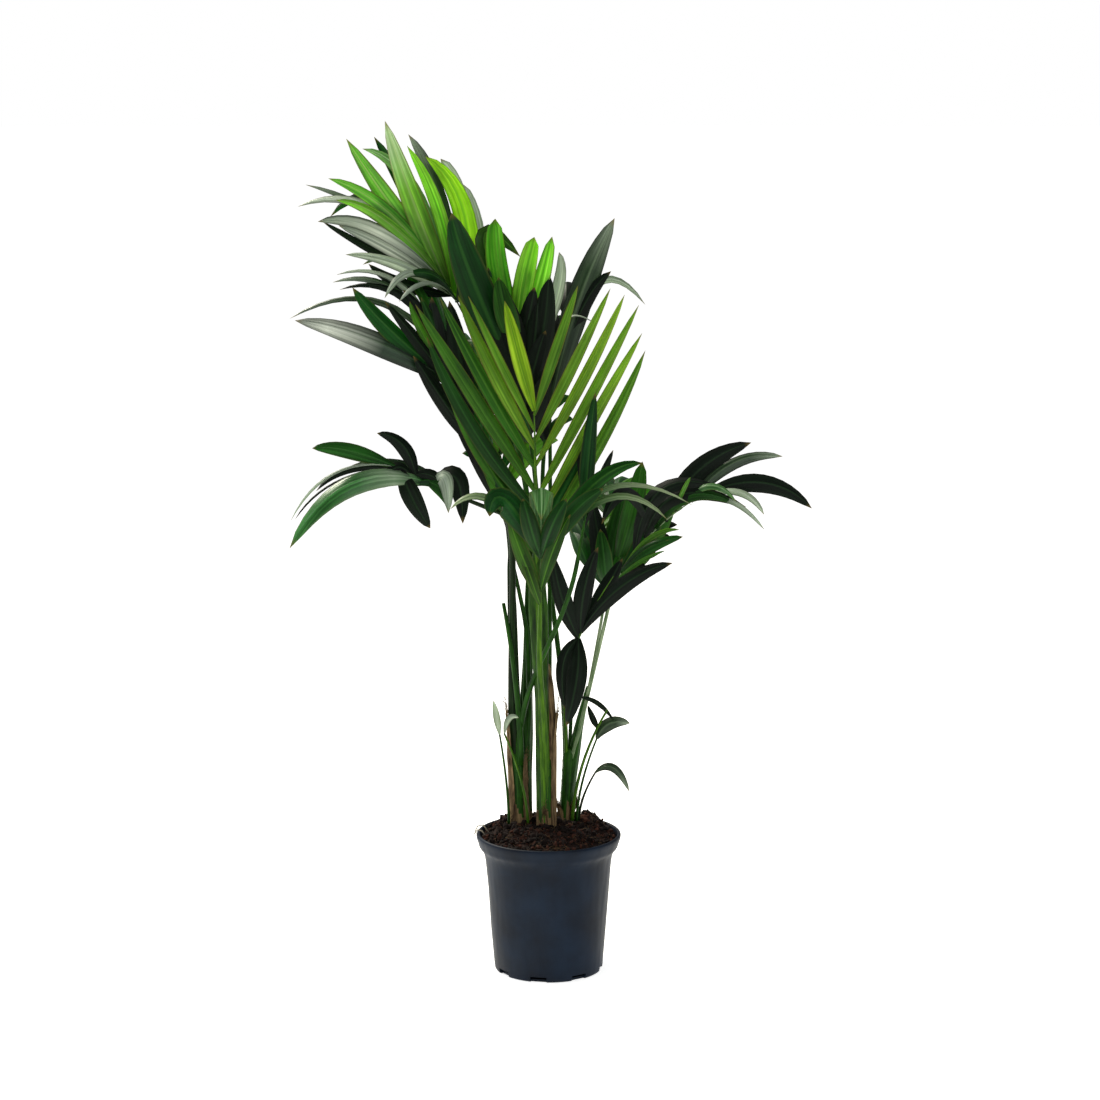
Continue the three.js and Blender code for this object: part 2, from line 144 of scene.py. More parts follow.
def leaf(name, face, nerve, rib, glow, through, gloss=0.4, edge="#3d4a1c", margin_from=0.84, shine=0.15,
         painted_glare=NO_PAINTED_GLARE):
    """Kentia leaflet: leathery and waxy, a stout midrib, fine nerves along it every 2 to 3 mm and a thin
    dry margin. Light from behind glows through it, more in a young leaflet than in an old one. Its pleats
    show as light and dark bands painted into its colour: painted shade and highlight. The last argument is
    the pale colour of a painted glare, a highlight painted into the colour, and the places along the
    leaflet where it starts, is full and ends."""
    material, put = blank_finish(name)
    place = put("TexCoord").outputs["UV"]
    mark = put("Attribute", attribute_name="leaflet").outputs["Vector"]
    across, lengthwise, chance = put("SeparateXYZ", {0: mark}).outputs
    off_rib = put("Math", {0: across}, operation="ABSOLUTE")
    midrib = put("MapRange", {0: off_rib, 1: 0.05, 2: 0.15, 3: 0.9, 4: 0.0})
    margin = put("MapRange", {0: off_rib, 1: margin_from, 2: 1.0, 3: 0.0, 4: 0.85})
    drawn = put("Mapping", {"Vector": place, "Scale": (1 / (2.6 * MM), 1 / (240 * MM), 1.0)})
    nerves = put("TexNoise", {"Vector": drawn, "Scale": 1.0, "Detail": 3.0})
    blotch_at = put("Mapping", {"Vector": place, "Scale": (1 / (22 * MM), 1 / (60 * MM), 1.0)})
    blotch = put("TexNoise", {"Vector": blotch_at, "Scale": 1.0, "Detail": 3.0})
    lined = put("MapRange", {0: nerves, 1: 0.4, 2: 0.68, 3: 0.0, 4: 0.9})
    lot_at = put("Mapping", {"Vector": mark, "Scale": (PLEATS_ACROSS, 0.7, 40.0)})
    pleats = put("TexNoise", {"Vector": lot_at, "Scale": 1.0, "Detail": 1.0})
    # Painted shade and highlight: the pleats' folds as darker and lighter bands in the colour.
    pleat_painted_shade = put("MapRange", {0: pleats, 1: 0.36, 2: 0.62, 3: 0.66, 4: 1.2})
    base = put("MapRange", {0: lengthwise, 1: 0.0, 2: 0.25, 3: 0.72, 4: 1.0})
    patchy = put("MapRange", {0: blotch, 1: 0.3, 2: 0.7, 3: 0.7, 4: 1.25})
    lot = put("MapRange", {0: chance, 3: 0.78, 4: 1.2})
    shade = patchy
    for factor in (lot, base, pleat_painted_shade):
        shade = put("Math", {0: shade, 1: factor}, operation="MULTIPLY")
    hue = put("MapRange", {0: chance, 3: 0.512, 4: 0.488})
    tip = put("MapRange", {0: lengthwise, 1: 0.94, 2: 1.0, 3: 0.0, 4: 0.8})
    # Painted glare: a highlight painted into the colour, pale along part of the leaflet and broken into
    # streaks by the pleats.
    pale, starts, full, ends = painted_glare
    glare_mask = put("MapRange", {0: lengthwise, 1: starts, 2: full, 3: 0.0, 4: 1.0})
    glare_mask = put("MapRange", {0: lengthwise, 1: full, 2: ends, 3: glare_mask, 4: 0.0})
    glare_streaking = put("MapRange", {0: pleats, 1: 0.36, 2: 0.6, 3: 0.35, 4: 0.95})
    glare_mask = put("Math", {0: glare_mask, 1: glare_streaking}, operation="MULTIPLY")
    colours = []
    for flesh in (face, glow):
        tint = put("Mix", {0: lined, 6: flesh, 7: nerve}, data_type="RGBA")
        toned = put("HueSaturation", {"Hue": hue, "Value": shade, "Color": tint})
        ribbed = put("Mix", {0: midrib, 6: toned, 7: rib}, data_type="RGBA")
        with_glare = put("Mix", {0: glare_mask, 6: ribbed, 7: pale}, data_type="RGBA")
        edged = put("Mix", {0: margin, 6: with_glare, 7: edge}, data_type="RGBA")
        dried = put("Mix", {0: tip, 6: edged, 7: "#6b5a2c"}, data_type="RGBA")
        colours.append(dried)
    relief = put("Math", {0: nerves, 1: midrib}, operation="ADD")
    relief = put("Math", {0: pleats, 1: 3.0, 2: relief}, operation="MULTIPLY_ADD")
    bump = put("Bump", {"Height": relief, "Strength": 0.45, "Distance": 0.5 * MM})
    rough = put("MapRange", {0: blotch, 1: 0.3, 2: 0.7, 3: gloss - 0.06, 4: gloss + 0.1})
    skin = put("BsdfPrincipled", {"Base Color": colours[0], "Roughness": rough, "IOR": 1.42,
                                  "Specular IOR Level": shine, "Normal": bump})
    film = put("BsdfTranslucent", {"Color": colours[1]})
    both = put("MixShader", {0: through, 1: skin, 2: film})
    put("OutputMaterial", {0: both})
    return material


# Each tint of leaflet: the colours of its face, its nerves, its midrib and the light that comes through it,
# the share of that light, its roughness, its margin's colour and where that starts, its shine and its
# painted glare, a pale highlight painted along part of it. The tints are lit and shaded copies of one
# leaflet, so
# their colours carry painted light: vivid, lime, bright and sunny are painted as lit, deep and black as
# painted shade, and grey is a painted glare down its middle between dark margins.
TINTS = {
    "vivid": ("#5fae14", "#98d836", "#62a81e", "#8ee01e", 0.48, 0.38, "#5c7a1c"),
    "lime": ("#629010", "#97ba2c", "#5c8a18", "#90c81c", 0.44, 0.38, "#6a6c20"),
    "bright": ("#54a81e", "#92d244", "#549820", "#78da24", 0.45, 0.38, "#5c6a20"),
    "leafy": ("#3e811d", "#70ab39", "#7ba04c", "#5fb31f", 0.36, 0.36, "#5a5424", 0.78, 0.3),
    "hoary": ("#3e811d", "#70ab39", "#7ba04c", "#5fb31f", 0.36, 0.36, "#5a5424", 0.78, 0.3,
              ("#c0ccb2", 0.6, 0.96, 2.0)),
    "sunny": ("#47781a", "#749e30", "#5c8a26", "#7eb022", 0.42, 0.4, "#5e4e22", 0.74),
    "mid": ("#2a5810", "#4b7b22", "#437420", "#478c12", 0.32, 0.4, "#4a4a1e", 0.8),
    "olive": ("#193609", "#345a13", "#44701c", "#3c7a10", 0.24, 0.38, "#3a3c1a", 0.8),
    "forest": ("#143c0c", "#2c6017", "#2e5c1a", "#2c7410", 0.24, 0.38, "#2c3a18", 0.8),
    "deep": ("#0c2e0c", "#1a4716", "#24501c", "#1c640e", 0.2),
    "black": ("#060d07", "#0d1b0e", "#162a15", "#0a270a", 0.1, 0.44, "#10160d"),
    "dusk": ("#1a2b1c", "#394c34", "#44583c", "#26461e", 0.2, 0.36, "#141c13", 0.6, 0.4,
             ("#8d9c86", 0.66, 1.0, 2.0)),
    "arc": ("#14360f", "#2c5a1e", "#4c7038", "#2c6a18", 0.2, 0.34, "#2c3a18", 0.8, 0.4,
            ("#a3b488", 0.4, 0.9, 2.0)),
    "grey": ("#6c8268", "#a0b094", "#8ca088", "#86a870", 0.25, 0.34, "#141c12", 0.36, 0.4,
             ("#c4cebb", 0.3, 0.7, 1.3)),
    "faded": ("#8c9c86", "#b8c6b0", "#a0b09c", "#9ab68a", 0.3, 0.36, "#363f30", 0.66, 0.4),
    "pale": ("#37682c", "#75a062", "#86ae76", "#569438", 0.3, 0.32, "#5c7038", 0.8, 0.4),
    "streak": ("#3a4d3c", "#6b7d66", "#7f9078", "#4a6a3c", 0.14, 0.32, "#0e190e", 0.5, 0.45,
               ("#c2ccb6", 0.1, 0.5, 1.1)),
    "glared": ("#0c1c10", "#1e3322", "#2a4028", "#1c3a16", 0.12, 0.32, "#0c160c", 0.6, 0.45,
               ("#cdd4c4", 0.42, 0.78, 1.08)),
    "sage": ("#12401a", "#2f7030", "#3f7c3c", "#2c782c", 0.22, 0.32, "#5c7050", 0.78, 0.4,
             ("#94a68c", 0.05, 0.22, 0.46)),
}
LEAVES = {name: leaf(f"leaf_{name}", *finish) for name, finish in TINTS.items()}
PLASTIC = blown_plastic()
PEAT = peat("peat", "#0c0706", "#2c1a13")
DAMP_CRUMB = peat("peat_damp_crumb", "#080504", "#20130e")  # soaked through: almost black
DRY_CRUMB = peat("peat_dry_crumb", "#1c0f0b", "#4c2a1d")  # bark and dried peat: rust brown specks
GREEN_RIND = rind("green_rind", "#0a2602", "#24540a", 0.46)  # a grown stalk: deep green
BRIGHT_RIND = rind("bright_rind", "#1c3e04", "#4a720e", 0.44)  # a young stalk: fresh yellow green
WRAPPED_RIND = rind("wrapped_rind", "#0a2202", "#305a0a", 0.46, 3.4)  # stalk feet in layers: broad bands
DARK_RIND = rind("dark_rind", "#081404", "#16300a", 0.48)  # an old stalk: dull blackish green
PALE_RIND = rind("pale_rind", "#3c5a30", "#8fa07c", 0.44)  # a stalk under thick wax: grey green
HUSK = rind("dry_husk", "#2a1c12", "#8a7452", 0.85, 0.8, 0.8)  # dead sheath fibre: tan, dull and coarse
ROOT = rind("pale_root", "#8f8673", "#cfc8b4", 0.7)  # bare root: bone white without gloss

# ---------------------------------------------------------------- mesh helpers


def cast(name, vertices, faces, materials, patches=None, across=None, marks=None, smooth=True):
    """Makes a mesh object at the origin: patches gives each face's material, across its points' UV and
    marks their places on a leaflet."""
    mesh = bpy.data.meshes.new(name)
    mesh.from_pydata(vertices, [], faces)
    for material in materials:
        mesh.materials.append(material)
    if patches is not None:
        mesh.polygons.foreach_set("material_index", patches)
    if across is not None:
        layer = mesh.uv_layers.new(name="UVMap")
        corners = np.zeros(len(mesh.loops), np.int32)
        mesh.loops.foreach_get("vertex_index", corners)
        layer.data.foreach_set("uv", np.asarray(across, np.float32)[corners].ravel())
    if marks:
        layer = mesh.attributes.new("leaflet", "FLOAT_VECTOR", "POINT")
        layer.data.foreach_set("vector", np.asarray(marks, np.float32).ravel())
    mesh.polygons.foreach_set("use_smooth", [smooth] * len(mesh.polygons))
    mesh.update()
    piece = bpy.data.objects.new(name, mesh)
    bpy.context.scene.collection.objects.link(piece)
    return piece


def place_piece(piece, slot, *nodes):
    """Every piece of the palm rides on its one body; nodes are the solids that it stands for."""
    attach(piece, "root")
    if nodes:
        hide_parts(*nodes)


def unit(vector):
    return vector / max(np.linalg.norm(vector), 1e-9)


def spots(*points):
    """Points in millimetres as arrays."""
    return [np.array(point, float) for point in points]


def arc(start, bend, end, s):
    """The point at share s of a curve from start to end that leans towards bend."""
    return (1 - s) ** 2 * start + 2 * s * (1 - s) * bend + s * s * end


def bend_through(start, over, end):
    """The bend that takes an arc through the point over, half way along it."""
    return 2 * over - (start + end) / 2


def swing(start, rise, fall, end, t):
    """The point at share t of a curve that leaves start towards rise and comes to end from fall."""
    u = 1 - t
    bend = 3 * u * u * t * rise + 3 * u * t * t * fall
    return u**3 * start + bend + t**3 * end


def squared(direction, line):
    """direction, turned the least that sets it at right angles to a line."""
    return unit(direction - line * (direction @ line))


def about(turn, depth=1.0):
    """The level direction at an angle round an upright axis."""
    return np.array((math.cos(turn), depth * math.sin(turn), 0.0))


def along(values, t):
    """A smooth value through the three given at the collar, half way and at the tip."""
    collar, middle, tip = values
    return collar * (1 - t) * (1 - 2 * t) + 4 * middle * t * (1 - t) + tip * t * (2 * t - 1)


def turned(vector, axis, angle):
    """vector turned about a unit axis."""
    cosine, sine = math.cos(angle), math.sin(angle)
    return vector * cosine + np.cross(axis, vector) * sine + axis * (axis @ vector) * (1 - cosine)


class Sheaf:
    """Gathers strips and tubes of one kind into one mesh, in millimetres."""

    def __init__(self):
        self.vertices = []
        self.faces = []
        self.patches = []
        self.across = []
        self.marks = []

    def grid(self, rows, uv, material=0, loop=False, marks=(), ends=None):
        """Adds a grid of points: rows[i][j] with uv[i][j]. A loop joins each row's end to its start, and
        ends are the two points that its first and last rows close to."""
        columns = len(rows[0])
        if ends:
            rows = [[ends[0]] * columns, *rows, [ends[1]] * columns]
            uv = [uv[0], *uv, uv[-1]]
        self.marks.extend(marks)
        start = len(self.vertices)
        for row, places in zip(rows, uv):
            self.vertices.extend(point * MM for point in row)
            self.across.extend(place * MM for place in places)
        for i in range(len(rows) - 1):
            for j in range(columns if loop else columns - 1):
                a = start + i * columns + j
                b = start + i * columns + (j + 1) % columns
                self.faces.append((a, b, b + columns, a + columns))
                self.patches.append(material)

    def finish(self, name, materials, slot, *nodes):
        """Makes the piece in place of the nodes; slot is not used."""
        piece = cast(name, self.vertices, self.faces, materials, self.patches, self.across, self.marks)
        place_piece(piece, slot, *nodes)


# ---------------------------------------------------------------- the palm's lines

FORK_HEIGHT = 300
SOIL_TOP = 212
STALK_RISE = 0.4  # share of a stalk's reach over which it leaves its foot upright
STALK_LEAD = 0.33  # and over which it comes into line with the rib
BEND_POWER = 1.5  # a leaflet's bend grows with this power of the way along it
NEARLY = 0.97  # share of the way to the plumb line that the limpest leaflet bends
LEAFLET_STEPS = 12
# Each palm's foot and fork, its radius at either, and the radius of the ring that its stalks stand on.
PALMS = {
    "left": {"base": (-41, 32), "fork": (-45, 27), "flare": 15, "neck": 12.4, "ring": 7.8},
    "middle": {"base": (-3, 4), "fork": (-5, 1), "flare": 12, "neck": 10, "ring": 5.9},
    "right": {"base": (25, 42), "fork": (30, 41), "flare": 11.5, "neck": 9.4, "ring": 5.9},
}


class Frond:
    """One frond's lines: a stalk from the fork to the collar, a rib that goes on from it to the tip, and
    the leaflet that grows at any place on the rib."""

    def __init__(self, palm, seat, collar, tip, bow, facing, rise=STALK_RISE, lead_share=STALK_LEAD,
                 lean=0.0):
        fork, ring = PALMS[palm]["fork"], PALMS[palm]["ring"]
        turn = math.radians(seat)
        foot = (fork[0] + ring * math.cos(turn), fork[1] + ring * math.sin(turn), FORK_HEIGHT)
        self.foot, self.collar, self.tip = spots(foot, collar, tip)
        heading = math.radians(facing)
        self.across = np.array((math.sin(heading), -math.cos(heading), 0.0))
        chord = self.tip - self.collar
        way = unit(chord)
        self.bend = self.collar + chord / 2 + np.cross(squared(self.across, way), way) * bow
        lead = unit(self.bend - self.collar)
        reach = np.linalg.norm(self.collar - self.foot)
        aside = np.array((lean, 0.0, 0.0))
        self.rise = self.foot + UP * reach * rise + aside
        self.fall = self.collar - lead * reach * lead_share + aside

    def stalk(self, t):
        return swing(self.foot, self.rise, self.fall, self.collar, t)

    def rib(self, t):
        return arc(self.collar, self.bend, self.tip, t)

    def leaflet(self, t, hand, length, spread, lift, sag):
        """Points and upper-side directions of a leaflet that bends over with its own weight."""
        tangent = unit((1 - t) * (self.bend - self.collar) + t * (self.tip - self.bend))
        side = squared(self.across, tangent)
        back = np.cross(side, tangent)
        out, up = math.radians(spread), math.radians(lift)
        heading = math.cos(out) * tangent + math.sin(out) * math.cos(up) * hand * side
        heading = unit(heading + math.sin(out) * math.sin(up) * back)
        upper = squared(back, heading)
        hinge = unit(np.cross(UP, heading))
        plumb = math.acos(np.clip(-heading[2], -1, 1))
        fall = min(math.radians(sag), NEARLY * plumb)
        point = self.rib(t)
        points, uppers = [point], [upper]
        for k in range(LEAFLET_STEPS):
            half_way = fall * ((k + 0.5) / LEAFLET_STEPS) ** BEND_POWER
            point = point + turned(heading, hinge, half_way) * length / LEAFLET_STEPS
            points.append(point)
            uppers.append(turned(upper, hinge, fall * ((k + 1) / LEAFLET_STEPS) ** BEND_POWER))
        return points, uppers

    def drawn(self, t, over, tip, turn):
        """A leaflet that arches from the rib through the point over to its tip. turn is how far its upper
        side faces away from the sky towards the front, in degrees."""
        root = self.rib(t)
        over, tip = spots(over, tip)
        bend = bend_through(root, over, tip)
        face = math.cos(math.radians(turn)) * UP + math.sin(math.radians(turn)) * FRONT
        steps = [k / LEAFLET_STEPS for k in range(LEAFLET_STEPS + 1)]
        ways = [unit((1 - s) * (bend - root) + s * (tip - bend)) for s in steps]
        return [arc(root, bend, tip, s) for s in steps], [squared(face, way) for way in ways]


# The places across a leaflet, as shares of its half width, and how high each stands above its edges as a
# share of the half width: the two halves fall away from a ridged midrib, with a stout nerve in each.
LEAFLET_ACROSS = (-1.0, -0.55, -0.08, 0.08, 0.55, 1.0)
LEAFLET_HEIGHTS = (0.0, 0.24, 0.42, 0.42, 0.24, 0.0)
LEAST_HALF = 0.15  # half the width, in millimetres, that a leaflet's tip closes to
LUCK = 0.618034  # spreads the leaflets' luck evenly over their count
PATCH_SHIFT = 37  # each leaflet takes its streaks from a place this far on in the pattern
WIDEST = 0.44  # share of a leaflet's length where it is widest
BASE_WIDTH = 0.26  # share of its width where it joins the rib
TIP_FULLNESS = 0.62  # less makes the outline fuller and blunter towards its tip
TWIST = math.radians(16)  # most that a leaflet turns about its own line


def width_at(s, fullness):
    """A leaflet's outline: narrow at the rib, then a long taper to a point."""
    if s < WIDEST:
        return BASE_WIDTH + (1 - BASE_WIDTH) * math.sin(math.pi / 2 * s / WIDEST)
    return math.cos(math.pi / 2 * (s - WIDEST) / (1 - WIDEST)) ** fullness


def add_leaflet(sheaf, path, width, material, seed, fullness=TIP_FULLNESS):
    """Adds one leaflet's blade along a path of points and upper-side directions."""
    points, uppers = path
    last = len(points) - 1
    rows, uv, marks = [], [], []
    distance = 0.0
    luck = (seed * LUCK) % 1.0
    shift = PATCH_SHIFT * seed
    for k, (point, upper) in enumerate(zip(points, uppers)):
        ahead = unit(points[min(k + 1, last)] - points[max(k - 1, 0)])
        twist = TWIST * (k / last) * math.sin(2 * math.pi * (luck + 0.5 * k / last))
        upper = turned(upper, ahead, twist)
        side = unit(np.cross(ahead, upper))
        half = max(width / 2 * width_at(k / last, fullness), LEAST_HALF)
        lift = [half * height for height in LEAFLET_HEIGHTS]
        rows.append([point + side * half * a + upper * h for a, h in zip(LEAFLET_ACROSS, lift)])
        uv.append([np.array((shift + half * a, shift + distance)) for a in LEAFLET_ACROSS])
        marks.extend((a, k / last, luck) for a in LEAFLET_ACROSS)
        if k < last:
            distance += np.linalg.norm(points[k + 1] - point)
    sheaf.grid(rows, uv, material, marks=marks)


CLOSED = 0.01  # the radius that a tube's ends close to


def add_tube(sheaf, points, radii, sides, flat=1.0):
    """Adds a tube through points; flat squeezes its section towards the front. Its ends are closed."""
    rows, uv = [], []
    last = len(points) - 1
    distance = 0.0
    points = [points[0]] + list(points) + [points[-1]]
    radii = [CLOSED] + list(radii) + [CLOSED]
    for k, (point, radius) in enumerate(zip(points, radii)):
        inner = min(max(k, 1), last + 1)
        way = unit(points[min(inner + 1, last + 1)] - points[max(inner - 1, 1)])
        u = unit(np.cross(way, FRONT))
        v = np.cross(u, way)
        turns = [2 * math.pi * n / sides for n in range(sides)]
        rows.append([point + radius * (u * math.cos(a) + v * flat * math.sin(a)) for a in turns])
        around = [max(radii[inner], 0.5) * (a if a <= math.pi else 2 * math.pi - a) for a in turns]
        uv.append([np.array((a, distance)) for a in around])
        if k <= last:
            distance += np.linalg.norm(points[k + 1] - point)
    sheaf.grid(rows, uv, loop=True)


# ---------------------------------------------------------------- the fronds

# Each frond's line, its stalk's radius at the foot and its rind. The line holds the palm it grows from, the
# seat on its ring in degrees, the collar, the tip, the rib's bow and the way it faces. These are as in the
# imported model, apart from the collar and bow of low_left and how far to the right back stands. Some lines
# go on with the stalk's rise, its lead and how far it leans to the right.
FRONDS = {
    "front_tall": (("middle", 190, (-16, -46, 610), (-20, -94, 835), 8, -90), 6.6, BRIGHT_RIND),
    "front_low": (("middle", 280, (-13, -66, 492), (-10, -127, 645), 10, -90), 5.8, BRIGHT_RIND),
    "left_arch": (("left", 346, (-58, 16, 650), (-155, 10, 910), 10, 140, 0.4, 0.33, -21), 5.6, DARK_RIND),
    "top_left": (("left", 58, (-55, 70, 790), (-155, 60, 1010), 20, 140, 0.4, 0.33, 5), 5.2, GREEN_RIND),
    "top_middle": (("middle", 100, (-25, 28, 770), (-45, 12, 935), 6, 90), 4.6, GREEN_RIND),
    "top_right": (("right", 150, (-5, 84, 765), (30, 104, 940), 14, 60), 4.2, GREEN_RIND),
    "low_left": (("left", 202, (-66, -22, 676), (-215, -60, 748), -6, 200, 0.55, 0.1, -7), 5.4, DARK_RIND),
    "low_right": (("right", 294, (95, 20, 570), (222, 0, 700), 26, -30, 0.08, 0.1, 8), 3.4, PALE_RIND),
    "small_right": (("right", 222, (40, -25, 490), (92, -48, 590), 10, -75), 2.8, BRIGHT_RIND),
    "mid_right": (("right", 6, (85, 90, 550), (138, 130, 645), 10, 60, 0.08, 0.1, 8), 2.8, PALE_RIND),
    "slim": (("left", 274, (40, -82, 615), (58, -88, 715), 5, -90), 4.4, GREEN_RIND),
    "back_left": (("left", 130, (-62, 100, 690), (-110, 190, 850), 20, 125, 0.4, 0.33, -8), 3.8, GREEN_RIND),
    "back": (("middle", 10, (2, 95, 770), (4, 220, 935), 25, 85), 3.8, GREEN_RIND),
    "back_right": (("right", 78, (60, 130, 570), (105, 240, 670), 25, 55), 3.0, GREEN_RIND),
}
# The rule for leaflets in pairs: how many pairs; their length, spread from the rib, lift above it and sag,
# each at the collar, half way and at the tip; a scale for those on either hand; their width; the scatter's
# seed; and their tints, dealt out in turn, with dark tints on the fronds in shade as painted shade.
PAIRS = {
    "left_arch": (8, (80, 200, 245), (17, 22, 14), (10, 10, 10), (35, 65, 85), (0, 0.9), 26, 7,
                  ("black", "deep")),
    "top_left": (7, (215, 255, 268), (37, 32, 14), (5, 5, 5), (50, 45, 20), (0, 0.85), 28, 9,
                 ("mid", "deep", "bright")),
    "top_middle": (4, (150, 160, 130), (26, 22, 13), (35, 30, 20), (8, 7, 5), (0.8, 0.7), 28, 12,
                   ("deep", "black")),
    "top_right": (5, (160, 180, 150), (26, 24, 14), (15, 12, 10), (45, 55, 55), (0.5, 0), 30, 13,
                  ("black", "deep")),
    "mid_right": (6, (130, 160, 135), (38, 34, 18), (10, 5, 0), (40, 40, 50), (0.45, 0.5), 28, 21,
                  ("deep", "black")),
    "back_left": (8, (170, 200, 180), (32, 30, 14), (10, 5, 0), (60, 60, 60), (0.42, 0.8), 28, 23,
                  ("deep", "mid", "deep")),
    "back": (8, (170, 195, 170), (34, 30, 14), (10, 5, 0), (60, 60, 60), (1, 0.24), 28, 25,
             ("forest", "deep", "mid")),
    "back_right": (7, (90, 170, 105), (22, 38, 14), (10, 5, 0), (60, 60, 60), (1, 0.7), 28, 27,
                   ("deep", "mid")),
}
